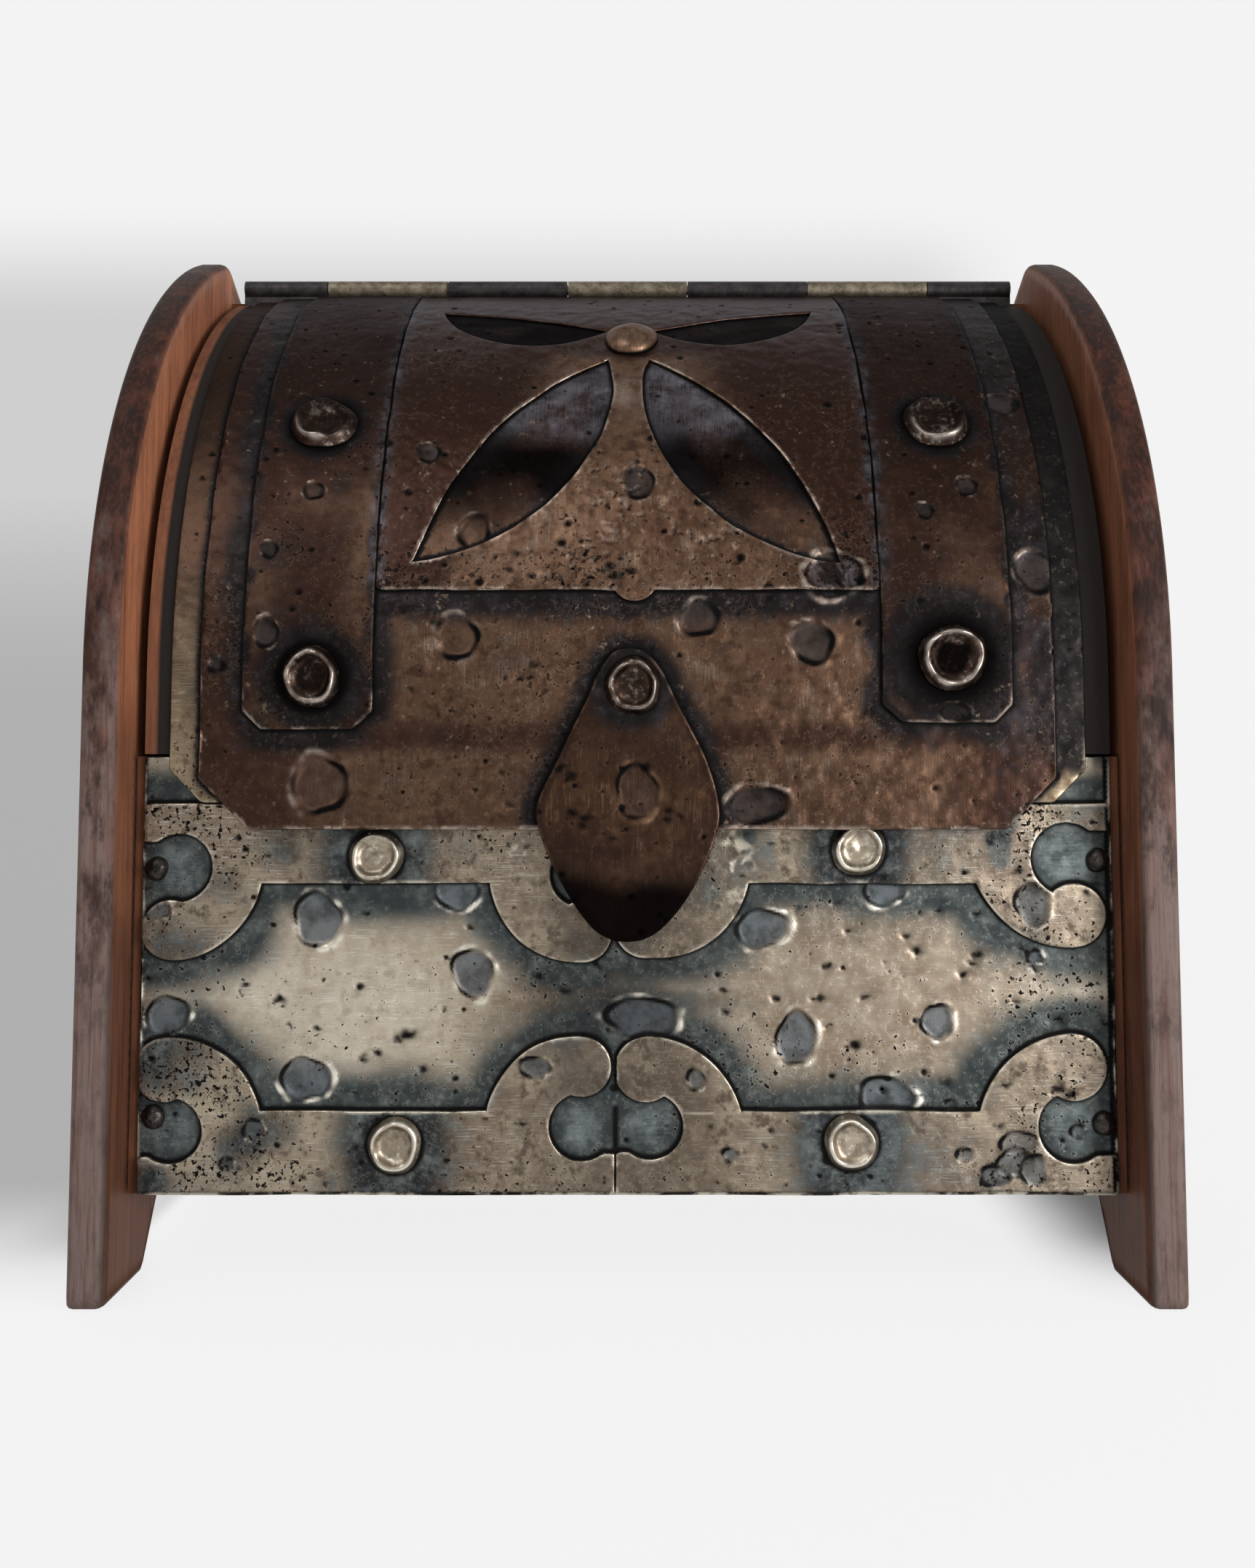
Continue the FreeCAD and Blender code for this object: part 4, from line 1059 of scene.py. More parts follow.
# %% [markdown]
# ## Lid sheets
# The dome carries four layers: a pale under-sheet that shows as a border, the large
# copper sheet with clipped corners, two straps and the pierced plate. They share one
# flat map, in which the first coordinate runs across and the second runs up and over,
# counted from the spring line, so one field can darken the layer below it.

# %% The map of the lid
TOP_S = COPPER_RADIUS * math.acos((DOME_Y - sheet_high.y) / COPPER_RADIUS)
STRAP_TOP_S = COPPER_RADIUS * math.acos((DOME_Y - strap_high.y) / STRAP_RADIUS)
COPPER_LOW_S = sheet_low.z - DOME_Z
UNDER_LOW_S = under_low.z - DOME_Z
STRAP_LOW_S = strap_low.z - DOME_Z
STRAP_IN, STRAP_OUT = abs(strap_high.x), abs(strap_low.x)
CREASE_S = 116.6 - DOME_Z
PLATE_LOW_S = 18.4
print(f"the dome runs to {TOP_S:.1f}, straps from {STRAP_LOW_S:.1f} to {STRAP_TOP_S:.1f}")

# %% [markdown]
# ## Openings and the pull's outline
# A petal of the pierced plate is the overlap of two discs. The pull is too free a shape
# for discs, so its outline is a smooth curve through points, and its field is the
# distance to the nearest piece of that curve.


# %% Petals
def lens(near, far, left_bulge, right_bulge):
    """A leaf between two points; each side is an arc with the given rise, left and right of the way."""
    (ax, ay), (bx, by) = near, far
    half = math.hypot(bx - ax, by - ay) / 2
    ux, uy = (bx - ax) / (2 * half), (by - ay) / (2 * half)
    sides = []
    for rise, way in ((left_bulge, 1), (right_bulge, -1)):
        radius = (half * half + rise * rise) / (2 * rise)
        away = radius - rise
        sides.append(disc((ax + bx) / 2 + uy * way * away, (ay + by) / 2 - ux * way * away, radius))
    return overlap(*sides)


PETALS = [
    lens((-4.6, 85.0), (-46.8, 25.0), 16.2, 6.2), lens((5.2, 85.0), (46.8, 24.6), 6.0, 17.0),
    lens((-5.0, 99.3), (-46.5, 112.0), 13.8, 1.5), lens((6.0, 99.5), (46.5, 112.5), 1.5, 13.8),
]
openings = union(*PETALS)
tear = disc(1.6, 21.0, 5.0)
plate_ground = panel(-STRAP_IN + 0.3, STRAP_IN - 0.3, PLATE_LOW_S, STRAP_TOP_S)
plate_field = hand_cut(less(union(plate_ground, tear), *PETALS), 0.25, 7, 61)
left_strap = hand_cut(panel(-STRAP_OUT, -STRAP_IN, STRAP_LOW_S - 0.8, STRAP_TOP_S, 4.0), 0.25, 8, 62)
right_strap = hand_cut(panel(STRAP_IN, STRAP_OUT, STRAP_LOW_S + 0.6, STRAP_TOP_S, 4.0), 0.25, 8, 63)
over_copper = union(left_strap, right_strap, plate_field)
print("petals:", len(PETALS))


# %% The outline of the pull
def spline_area(corners, parts=10):
    """The field of a closed smooth outline through the given points."""
    given = np.array(corners, float)
    rows = []
    for place in range(len(given)):
        before, start, end, after = (given[(place + step) % len(given)] for step in (-1, 0, 1, 2))
        for part in np.linspace(0, 1, parts, endpoint=False):
            rows.append(0.5 * (2 * start + (end - before) * part
                               + (2 * before - 5 * start + 4 * end - after) * part ** 2
                               + (3 * start - before - 3 * end + after) * part ** 3))
    a = np.array(rows)
    b = np.roll(a, -1, axis=0)
    edge = b - a

    def signed(px, py):
        along = ((px - a[:, 0]) * edge[:, 0] + (py - a[:, 1]) * edge[:, 1]) / (edge ** 2).sum(axis=1)
        along = np.clip(along, 0, 1)
        far = np.hypot(px - a[:, 0] - along * edge[:, 0], py - a[:, 1] - along * edge[:, 1]).min(axis=1)
        cross = (a[:, 1] > py) != (b[:, 1] > py)
        where = a[:, 0] + (py - a[:, 1]) / np.where(edge[:, 1] == 0, 1e-9, edge[:, 1]) * edge[:, 0]
        inside = (cross & (px < where)).sum(axis=1) % 2 == 1
        return np.where(inside, -far, far)

    def field(x, y):
        batch = 4000
        return np.concatenate([signed(x[first:first + batch, None], y[first:first + batch, None])
                               for first in range(0, len(x), batch)])
    return field


PULL_OUTLINE = [
    (-6.6, 131.0), (-8.2, 127.0), (-11.8, 119.8), (-15.4, 112.0), (-18.8, 105.0), (-19.5, 100.2),
    (-17.0, 92.5), (-12.8, 84.4), (-8.1, 77.9), (-4.6, 75.3), (-0.8, 74.4), (3.7, 75.0), (7.9, 77.7),
    (12.5, 83.2), (16.7, 90.8), (19.4, 98.4), (19.4, 104.4), (17.0, 112.6), (13.5, 119.8),
    (9.8, 127.0), (7.4, 132.0), (3.4, 136.2), (-2.6, 136.2),
]
pull_field = spline_area(PULL_OUTLINE)


def behind_pull(x, y):
    """The pull's field on the map of the lid."""
    return pull_field(x, y + DOME_Z)


print("points on the pull's outline:", len(PULL_OUTLINE))

# %% [markdown]
# ## Copper sheet
# The sheet is dark where it can't be rubbed, under the straps and the plate. Round the
# pull it carries the pull's painted shadow, over the top a painted dark reflection and in
# the crease above its bent lower edge painted shade. The plate's openings are sooty, with
# a bluish bloom near the boss. The large dent at the plate's corner is scratched down to
# bright metal, and it runs over both sheets, so they share its marks.


# %% Tarnish of the copper sheet
def pull_shadow_edge(x, y):
    """The pull's painted shadow is full along and beyond its outline and fainter behind its middle."""
    return smooth(behind_pull(x, y), -8.0, -2.5)


def copper_tarnish(x, y):
    """Dark round everything that lies on the sheet, with the pull's painted shadow round the pull;
    cleaner at the lower tips of the petals.
    """
    near = 1.15 * cast(over_copper, 5.0)(x, y) * (0.9 + 0.4 * drift(x, y, 9, 72))
    tip = 0.12 + 0.38 * (x > 0)
    near = np.where(openings(x, y) < -1, near * (tip + (1 - tip) * smooth(y, 34, 46)), near)
    sides = 0.75 * smooth(x, 68, 90) * (0.7 + 0.5 * drift(x, y, 14, 73))
    under_plate = np.exp(-(np.maximum(18 - y, 0) / 7.0) ** 2) * (np.abs(x) < STRAP_IN) * (y < 19)
    # the pull's painted shadow on the sheet
    pull_shade = cast(behind_pull, 4.5)(x, y) * (0.3 + 0.7 * pull_shadow_edge(x, y))
    smear = 0.6 * spot(x, y, 23, 10, 8, 7) * (0.6 + 0.9 * drift(x, y, 4, 124))
    return most(near, sides, under_plate, pull_shade, smear, 0.05 + 0.25 * drift(x, y, 12, 74))


def copper_deepen(x, y):
    """Brown darkness: a painted dark reflection over the top of the dome, painted shade in the
    crease, darker on the bent lip below it and towards the sides.
    """
    high = smooth(y, 10, 60)
    crease = 0.75 * np.exp(-((y - CREASE_S - 1) / 4.5) ** 2)
    below = 0.4 * smooth(CREASE_S - y, 0, 6)
    return most(high, crease, below, 0.75 * smooth(np.abs(x), 52, 80), 0.1 + 0.3 * drift(x, y, 18, 77))


print("copper tarnish ready")


# %% Soot, painted dark reflection and bloom
def top_dark_reflection(x, y):
    """A painted dark reflection: the top of the lid is darker, unevenly."""
    return 0.26 * smooth(y, 35, 100) * (1 + 0.4 * drift(x, y, 11, 115))


def scratches(x, y):
    return smooth(drift(x + 0.5 * y, 0.35 * y, 0.9, 116), -0.1, 0.5)


def corner_dent(x, y):
    """Where the large dent at the plate's right corner is."""
    return np.exp(-(np.hypot((x - 45.0) / 6.0, (y - 22.0) / 5.0) ** 4))


def frost(x, y):
    """Silvery scratches in that dent."""
    return corner_dent(x, y) * (0.1 + 0.9 * scratches(x, y))


def dent_soot(x, y):
    """The dark ground between those scratches."""
    return 0.65 * corner_dent(x, y) * (1 - scratches(x, y))


def petal_shade(x, y):
    """Soot in the openings, thick in the middle of the lower ones and all over the upper ones, under
    the painted dark reflection over the top and with the soot of the corner dent.
    """
    thick = np.exp(-((y - 49) / 12) ** 2) * (1 - 0.15 * (x > 0)) + smooth(y, 84, 94)
    soot = (openings(x, y) < 0) * np.clip(0.08 + 0.88 * thick + 0.3 * drift(x, y, 7, 79), 0, 0.97)
    return most(soot, top_dark_reflection(x, y), dent_soot(x, y))


def petal_bloom(x, y):
    """A bluish haze, scratched, in the openings near the boss."""
    haze = (openings(x, y) < 0) * smooth(y, 50, 66) * smooth(-y, -92, -80)
    return most(haze * (0.8 + 0.25 * (x > 0) + 0.4 * drift(x, y, 5, 80)), frost(x, y))


print("soot ready")

# %% The copper sheet of the lid
LID_PEBBLES = [
    (-37.0, 8.0, 4.7, 4.6, 0.15), (39.8, 7.0, 4.7, 4.6), (-66.2, -24.0, 5.6, 6.4, 0.25),
    (27.7, -28.2, 6.3, 4.2, 1.0, 1.5), (15.4, 12.2, 4.5, 3.8, 0.6), (-33.8, 32.0, 3.6, 4.2, 0.2),
    (-89.1, 2.1, 1.6, 1.6), (89.2, 22.7, 4.6, 4.6), (87.0, 68.2, 3.4, 3.4), (45.0, 22.0, 6.0, 5.0, 0.6, 2.2),
]
LID_NICKS = scattered(26, (-54, 54, -30, 16), 50, 0.5, 1.0)
LID_NICKS += [(-20, 2.0, 1.4), (-23.5, -1.0, 1.2), (-18, -4.0, 1.1)]
COPPER_GAUGE = 0.9
copper_bounds = (sheet_low.x, sheet_high.x, COPPER_LOW_S, TOP_S)
copper_field = hand_cut(panel(*copper_bounds, 11.0), 0.15, 10, 64)
lid_dents = pebbles(LID_PEBBLES, 0.5, 0.28, 2.3, 0.8)
lid_pits = pits(420, copper_bounds, 71)
lid_nicks = smudges(LID_NICKS)


def copper_height(x, y):
    """The sheet's lower edge is bent outwards below a soft crease; the rest is waves and dents."""
    lip = LIP_FLARE * np.clip((CREASE_S - y) / (CREASE_S - COPPER_LOW_S), 0, 1) ** 1.3
    waves = 0.16 * drift(x, y, 13, 75) + 0.06 * drift(x, y, 5, 76)
    relief = waves + lid_dents.height(x, y) + lid_pits.height(x, y)
    return lip + np.minimum(relief - 0.3 * lid_nicks(x, y) + 0.1 * lid_nicks(x - 0.9, y + 0.9), 0.4)


def copper_shade_and_dirt_line(x, y):
    """Painted contact shade, black along what lies on the sheet; dirt in the dents' edges; and the
    pull's painted shadow along the pull.
    """
    pull_line = 0.9 * cast(behind_pull, 1.2)(x, y) * pull_shadow_edge(x, y) ** 2
    return most(cast(over_copper, 0.8)(x, y), lid_dents.line(x, y), pull_line)


copper_sheet = cut_sheet(
    "copper_lid_sheet", copper_field, copper_bounds, on_dome(COPPER_RADIUS), COPPER_GAUGE, step=0.72, rim=0.3,
    height=copper_height,
    marks={"tarnish": copper_tarnish,
           "deepen": copper_deepen,
           "dent": lid_dents.dark,
           "pit": lambda x, y: most(lid_pits.dark(x, y), 0.8 * lid_nicks(x, y)),
           "speckle": lambda x, y: 0.2 + 0.5 * drift(x, y, 14, 78),
           "shade": petal_shade,
           "bloom": petal_bloom,
           # crest: painted highlights on the pebbles' thrown-up edges
           "crest": lambda x, y: 0.8 * lid_dents.crest(x, y),
           "rim": lambda x, y: smooth(copper_field(x, y), -0.9, -0.1) * (0.2 + 0.8 * smooth(-y, 20, 30)),
           "line": copper_shade_and_dirt_line})
dress(copper_sheet, "lid", "aged_copper", copper, "lid_copper_sheet")

# %% [markdown]
# ## Under-sheet
# Only its border shows, pale and flecked at the lower left, brown higher up. It is one
# plain panel with clipped corners on a slightly smaller radius, darkened by the copper
# sheet that lies on it, with a line of painted contact shade along that sheet's edge.

# %% The under-sheet
UNDER_GAUGE = 0.8
under_bounds = (under_low.x, under_high.x, UNDER_LOW_S, TOP_S)
under_field = panel(*under_bounds, 7.0)
under_pits = pits(500, under_bounds, 81)


def under_tarnish(x, y):
    """Dark beside the copper sheet and at the lower right."""
    beside = 0.9 * cast(copper_field, 1.6)(x, y)
    return most(beside, 1.2 * smooth(x, 60, 90) * smooth(y, -28, -14), 0.15 + 0.3 * drift(x, y, 9, 82))


under_sheet = cut_sheet(
    "under_lid_sheet", under_field, under_bounds, on_dome(UNDER_RADIUS), UNDER_GAUGE, step=0.9, rim=0.3,
    height=under_pits.height,
    marks={"tarnish": under_tarnish,
           "deepen": lambda x, y: smooth(y, -10, 34),
           "shade": lambda x, y: 0.6 * smooth(y, 25, 80),
           "rim": lambda x, y: smooth(under_field(x, y), -0.9, -0.1) * smooth(-y, 8, 24),
           "pit": under_pits.dark,
           "speckle": lambda x, y: 0.7 * smooth(-y, 0, 22) * (x < 0) + 0.05,
           # line: painted contact shade along the copper sheet's edge
           "line": cast(copper_field, 0.5)})
dress(under_sheet, "lid", "aged_brass", under_brass, "lid_under_sheet")

# %% [markdown]
# ## Straps
# Two strips of heavier copper with clipped lower corners, each held by two studs. They
# are sooty round the studs, with a painted shadow there too, and burnt round the lower
# right one; over the top of the lid they carry the painted dark reflection, and a rope of
# blue-grey dirt lies along their inner edges.

# %% The two straps
STRAP_GAUGE, STRAP_MIDDLE_S = 1.1, 40
STRAP_STUDS = {"strap_left": [(-68.2, -0.8), (-69.4, 60.7)], "strap_right": [(70.2, 3.4), (70.6, 61.2)]}
STRAP_PEBBLES = {
    "strap_left": [(-78.2, 9, 2.6, 3.2), (-78.6, 27.7, 1.8, 1.9), (-69.9, 42.1, 2.2, 2.2, 0.5)],
    "strap_right": [(75.6, 43.3, 2.3, 2.3), (65.8, 37.1, 1.9, 1.9), (70.5, -8.4, 3.1, 2.2, 0.6)],
}
burnt = disc(*STRAP_STUDS["strap_right"][0], 8.0)


def seam_haze(x, y):
    """A rope of blue-grey dirt along the straps' inner edges."""
    knots = 0.5 + 0.7 * drift(x, y, 1.3, 123)
    return np.clip(0.7 * np.exp(-((np.abs(x) - STRAP_IN) / 1.8) ** 2) * knots * smooth(y, 18, 22), 0, 0.5)


def strap(number, node, field):
    """One strap; the right one is a little sootier."""
    left = node == "strap_left"
    bounds = (*((-STRAP_OUT, -STRAP_IN) if left else (STRAP_IN, STRAP_OUT)), STRAP_LOW_S - 2, STRAP_TOP_S)
    dents = pebbles(STRAP_PEBBLES[node], 0.35, 0.2, 2.0)
    pitting = pits(70, bounds, 90 + number)
    studs = union(*[disc(x, s, 7.0) for x, s in STRAP_STUDS[node]])

    def tarnish(x, y):
        lower, upper = 1.3 * cast(studs, 5.0)(x, y), 1.2 * cast(studs, 3.2)(x, y)
        round_studs = lower * (y < STRAP_MIDDLE_S) + upper * (y > STRAP_MIDDLE_S)
        edges = 1.1 * cast(lambda u, v: -field(u, v), 2.0)(x, y) * (0.6 + 0.7 * drift(x, y, 3, 112))
        return most(round_studs, 1.4 * cast(burnt, 7.5)(x, y), edges, 0.12 + 0.3 * drift(x, y, 12, 96))

    # painted shadow round the studs and the painted dark reflection over the top, on the straps' soot and the
    # burn round the lower right stud
    def shade(x, y):
        soot = (0.18 if left else 0.26) + top_dark_reflection(x, y)
        return np.clip(soot + 0.65 * cast(studs, 2.3)(x, y) + 0.45 * cast(burnt, 4.5)(x, y), 0, 0.95)

    return cut_sheet(
        node + "_sheet", field, bounds, on_dome(STRAP_RADIUS - 0.25), STRAP_GAUGE - 0.25, step=0.6, rim=0.35,
        height=lambda x, y: np.minimum(0.12 * drift(x, y, 11, 95) + dents.height(x, y) + pitting.height(x, y),
                                       0.22),
        marks={"tarnish": tarnish,
               "deepen": lambda x, y: most(0.72 + 0.35 * drift(x, y, 13, 111), smooth(y, 16, 60)),
               "shade": shade,
               "bloom": seam_haze,
               "dent": dents.dark,
               "pit": pitting.dark,
               # crest: painted highlights on the pebbles' thrown-up edges; line: painted contact shade round
               # the studs, dirt in the pebbles' edges and a dark inner edge
               "crest": dents.crest,
               "rim": lambda x, y: smooth(field(x, y), -0.9, -0.1) * (0.25 + 0.75 * smooth(-y, 2, 8)),
               "speckle": lambda x, y: 0.25 + 0.5 * drift(x, y, 12, 113),
               "line": lambda x, y: most(dents.line(x, y), cast(studs, 1.2)(x, y),
                                         0.3 * smooth(STRAP_IN + 0.5 - np.abs(x), 0, 0.4))})


for number, (node, field) in enumerate((("strap_left", left_strap), ("strap_right", right_strap))):
    dress(strap(number, node, field), "lid", "aged_copper", copper, node)

# %% [markdown]
# ## Pierced plate
# The plate lies between the straps, with four petals cut out round the boss. Its lower
# part is rough with small burrs and pits, the neck between the petals is rubbed pale, and
# its lower edge ends in a torn tongue.

# %% Burrs and nicks of the plate
PLATE_GAUGE = 0.9
PLATE_PEBBLES = [(2.5, 44.6, 3.4, 4.4), (-45.0, 52.5, 2.6, 2.6), (45.0, 22.0, 6.0, 5.0, 0.6, 2.6)]
PLATE_NICKS = [
    (-2.6, 21.4, 1.7), (-4.0, 23.6, 1.3), (0.6, 22.6, 1.2), (-1.4, 25.6, 0.9), (-26.0, 23.0, 1.2),
    (-24.0, 26.5, 1.0), (-21.0, 21.5, 0.9), (9.5, 50.0, 1.0), (24.0, 24.5, 1.0),
]
plate_bounds = (-STRAP_IN, STRAP_IN, 12, STRAP_TOP_S)
plate_dents = pebbles(PLATE_PEBBLES, 0.4, 0.15, 2.3)
plate_nicks = smudges(PLATE_NICKS)
plate_pits = pits(420, plate_bounds, 97, lambda x, y: 0.3 + 0.7 * smooth(-y, -75, -20), large=1.5)


def crust(x, y):
    """Small raised burrs on the lower part of the plate, strongest in three patches."""
    u = 0.8 * x + 0.6 * y + 0.6 * drift(x, y, 1.7, 120)
    v = 0.8 * y - 0.6 * x + 0.6 * drift(x, y, 1.7, 121)
    burrs = 0.55 * drift(u, v, 1.3, 119) + 0.45 * drift(v, u, 0.9, 122)
    patches = spot(x, y, -14, 27, 9, 5) + spot(x, y, -2, 44, 9, 10) + spot(x, y, 16, 34, 8, 5) + 0.35
    return np.clip(patches, 0, 1) * smooth(burrs, 0.24, 0.5) * smooth(-y, -60, -48)


def neck_glow(x, y):
    """The neck between the petals is rubbed pale."""
    return spot(x, y, 0, 68, 5, 9) * np.clip(0.35 + 0.4 * drift(x, y, 4, 125), 0, 0.6)


print("burrs ready")


# %% The pierced plate
def plate_tarnish(x, y):
    """Dark at the top and along the straps."""
    seams = 0.9 * smooth(np.abs(x) - STRAP_IN, -3.2, -0.8) * (0.6 + 0.7 * drift(x, y, 3, 118))
    return most(0.35 * smooth(y, 85, 110), 0.06 + 0.15 * drift(x, y, 15, 99), seams)


def plate_rim(x, y):
    """Rubbed along the petals and the lower edge, not under the straps or at the top."""
    rim = smooth(plate_field(x, y), -0.9, -0.1) * smooth(STRAP_IN - np.abs(x), 0.8, 2.5)
    return rim * (1 - 0.8 * smooth(y, 86, 92))


def plate_pitting(x, y):
    """Pits, nicks and the shadow below each burr."""
    return most(plate_pits.dark(x, y), plate_nicks(x, y), 0.85 * crust(x - 0.5, y + 0.7) * (1 - crust(x, y)))


def plate_height(x, y):
    relief = 0.12 * drift(x, y, 12, 98) + plate_dents.height(x, y) + plate_pits.height(x, y)
    return np.minimum(relief + 0.25 * crust(x, y), 0.14)


plate = cut_sheet(
    "pierced_plate", plate_field, plate_bounds, on_dome(COPPER_RADIUS + PLATE_GAUGE - 0.15),
    PLATE_GAUGE - 0.15, step=0.62, rim=0.35, height=plate_height,
    marks={"tarnish": plate_tarnish,
           "bloom": lambda x, y: most(frost(x, y), seam_haze(x, y)),
           "deepen": lambda x, y: most(smooth(np.abs(x) * 1.5 + (y - 48) * 0.5, 26, 60), smooth(y, 80, 92)),
           "dent": plate_dents.dark,
           "line": plate_dents.line,
           "pit": plate_pitting,
           "shade": dent_soot,
           # crest: painted highlights on the pebbles' edges and on the burrs, and the pale rubbed neck
           "crest": lambda x, y: most(0.6 * plate_dents.crest(x, y), 0.4 * crust(x, y), neck_glow(x, y)),
           "rim": plate_rim,
           "speckle": lambda x, y: 0.2 + 0.6 * smooth(-y, -38, -22) + 0.4 * drift(x, y, 10, 114)})
dress(plate, "lid", "aged_copper", copper, "ornament_plate")

# %% [markdown]
# ## Pull
# The pull is a leaf of thick copper on one rivet. It leans a little out of the upright
# and its tip curls forward, so it is a flat sheet whose place function bends it.

# %% The pull
PULL_GAUGE = 1.2
PULL_NICKS = [
    (-14.5, 110.9, 1.5), (-12.0, 109.6, 1.3), (-12.4, 108.4, 1.0), (-11.6, 101.2, 1.3), (-9.2, 100.2, 1.4),
    (-9.6, 98.6, 1.0), (8.8, 101.9, 1.2), (11.0, 100.7, 1.2), (8.4, 99.6, 1.1), (4.0, 111.5, 1.2),
    (-3.0, 96.0, 1.0),
]
pull_low, pull_high = low_high("pull")
PULL_BACK, PULL_TIP_Z = pull_high.y, pull_low.z
LEAN = PULL_BACK - pull_low.y - PULL_GAUGE
LEAN_FROM_Z = 124.6
PULL_RIVET = (1.2, 128.6, 6.8)
pull_copper = aged_metal(
    "pull_copper", [(130, 102, 80), (86, 64, 48), (68, 48, 37), (50, 36, 30), COPPER_DARK, COPPER_PALE,
                    (66, 60, 58)],
    streak=CROSSWISE, ragged=0.5, sparks=0.3, rubbed=0.4)
pull_bounds = (-20.5, 20.5, PULL_TIP_Z - 1, 137.6)
pull_pits = pits(60, pull_bounds, 101)
pull_dents = pebbles([(2.0, 105.8, 4.6, 5.6, 0.25)], 0.3, 0.15)
pull_nicks = smudges(PULL_NICKS)


def on_pull(x, y, height):
    """Hangs a flat sheet from the rivet, bent forward."""
    part = np.clip((LEAN_FROM_Z - y) / (LEAN_FROM_Z - PULL_TIP_Z), 0, 1)
    return x, PULL_BACK - PULL_GAUGE - LEAN * (0.42 * part + 0.55 * part ** 4) - height, y


def pull_height(x, y):
    return np.minimum(0.1 * drift(x, y, 9, 102) + pull_pits.height(x, y) + pull_dents.height(x, y) - 0.15, 0)


pull_piece = cut_sheet(
    "leaf_pull", pull_field, pull_bounds, on_pull, PULL_GAUGE - 0.1, step=0.6, rim=0.45, round_back=True,
    height=pull_height,
    marks={"tarnish": lambda x, y: most(cast(disc(*PULL_RIVET), 3.5)(x, y),
                                        0.06 + 0.12 * drift(x, y, 12, 103)),
           "deepen": lambda x, y: most(0.5 + 0.3 * drift(x, y, 10, 104),
                                       0.9 * smooth(pull_field(x, y), -3.5, -0.3)),
           "pit": lambda x, y: most(pull_pits.dark(x, y), 0.95 * pull_nicks(x, y)),
           "dent": pull_dents.dark,
           "line": pull_dents.line,
           # crest: a painted highlight on the dent's edge; shade: the tip is painted black for the dark
           # reflection in its curl
           "crest": pull_dents.crest,
           "shade": lambda x, y: 0.95 * smooth(-y - 0.12 * x + 1.5 * drift(x, y, 9, 105), -92, -84)})
dress(pull_piece, "pull", "aged_copper", pull_copper, "pull")

# %% [markdown]
# ## Studs
# Each stud was hammered over by hand, so no two are alike: a thick rolled rim that is
# higher on one side, a flattened and dented centre. A stud is a round patch of rings
# whose height comes from a profile and a little noise, closed with a flat back.

# %% The shape and the marks of a stud
RINGS, TURNS = 22, 64


def stud_height(ratio, angle, kind, noise, lean):
    """The profile from the middle, 0, to the edge, 1: a rolled ring round a hollow, or a dome."""
    if kind == "dome":
        return 0.95 * np.sqrt(1 - ratio ** 2.2) + 0.08 * noise * (1 - ratio)
    roll = np.exp(-((ratio - 0.76) / 0.16) ** 2) * (0.8 + 0.2 * np.cos(angle - lean))
    return (0.28 * (1 - smooth(ratio, 0.8, 1.0)) + (0.62 + 0.16 * noise) * roll
            + 0.14 * noise * (1 - ratio))


def stud_marks(ratio, angle, noise, polish_and_highlight, soot, lower_lit=False):
    """Polish is how bright the rim is, soot how dark the hollow. Lower_lit paints a highlight on the
    lower part of the rim only and paints shade over the upper part of the stud, outside its middle."""
    low_side = np.clip(0.1 - 1.1 * np.sin(angle + 0.2), 0, 1) if lower_lit else 1.0
    ridge = np.exp(-((ratio - 0.78 - 0.05 * noise) / 0.09) ** 2) * np.clip(0.7 + 0.7 * noise, 0.1, 1)
    hollow = soot * (1 - smooth(ratio + 0.12 * noise, 0.4, 0.66))
    if lower_lit:
        hollow = np.maximum(hollow, 0.72 * (1 - low_side) * smooth(ratio, 0.3, 0.6))
    # line: painted contact shade round the stud's edge
    marks = {"crest": polish_and_highlight * (ridge * low_side), "shade": hollow, "line": smooth(ratio, 0.95, 1.0)}
    back = np.ones(TURNS)
    return {name: np.concatenate((np.broadcast_to(mark, noise.shape).ravel(), back))
            for name, mark in marks.items()}


print("studs have", RINGS, "rings of", TURNS, "points")


# %% One hammered stud
def stud_patch(centre, across, up, radius, rise, kind, seed, *look):
    """Points, faces and marks of one stud; across and up are its directions in the surface, and
    look is what stud_marks needs."""
    phase = np.random.default_rng(seed).uniform(0, 2 * math.pi, 3)
    turn = np.arange(TURNS)
    angle = 2 * math.pi * turn / TURNS
    ratio = np.arange(1, RINGS + 1)[:, None] / RINGS
    wobble = 0.94 + 0.03 * np.sin(2 * angle + phase[0]) + 0.02 * np.sin(3 * angle + phase[1])
    wobble = wobble + 0.012 * np.sin(5 * angle)
    x, y = radius * ratio * wobble * np.cos(angle), radius * ratio * wobble * np.sin(angle)
    noise = drift(x + seed * 7, y, radius * 0.35, 33)
    height = rise * np.clip(stud_height(ratio, angle, kind, noise, phase[2]), 0, 1) * (ratio < 1)
    across, up = np.array(across), np.array(up)
    out = np.cross(across, up)
    points = np.array(centre) + x[..., None] * across + y[..., None] * up + height[..., None] * out
    points = points.reshape(-1, 3)
    points = np.concatenate((points, points[-TURNS:] - 0.4 * out))
    faces = [[row * TURNS + a, (row + 1) * TURNS + a, (row + 1) * TURNS + b, row * TURNS + b]
             for row in range(RINGS) for a, b in zip(turn, (turn + 1) % TURNS)]
    faces += [list(turn), list((RINGS * TURNS + turn)[::-1])]
    return points, faces, stud_marks(ratio, angle, noise, *look)


print("points of one stud:", (RINGS + 1) * TURNS)


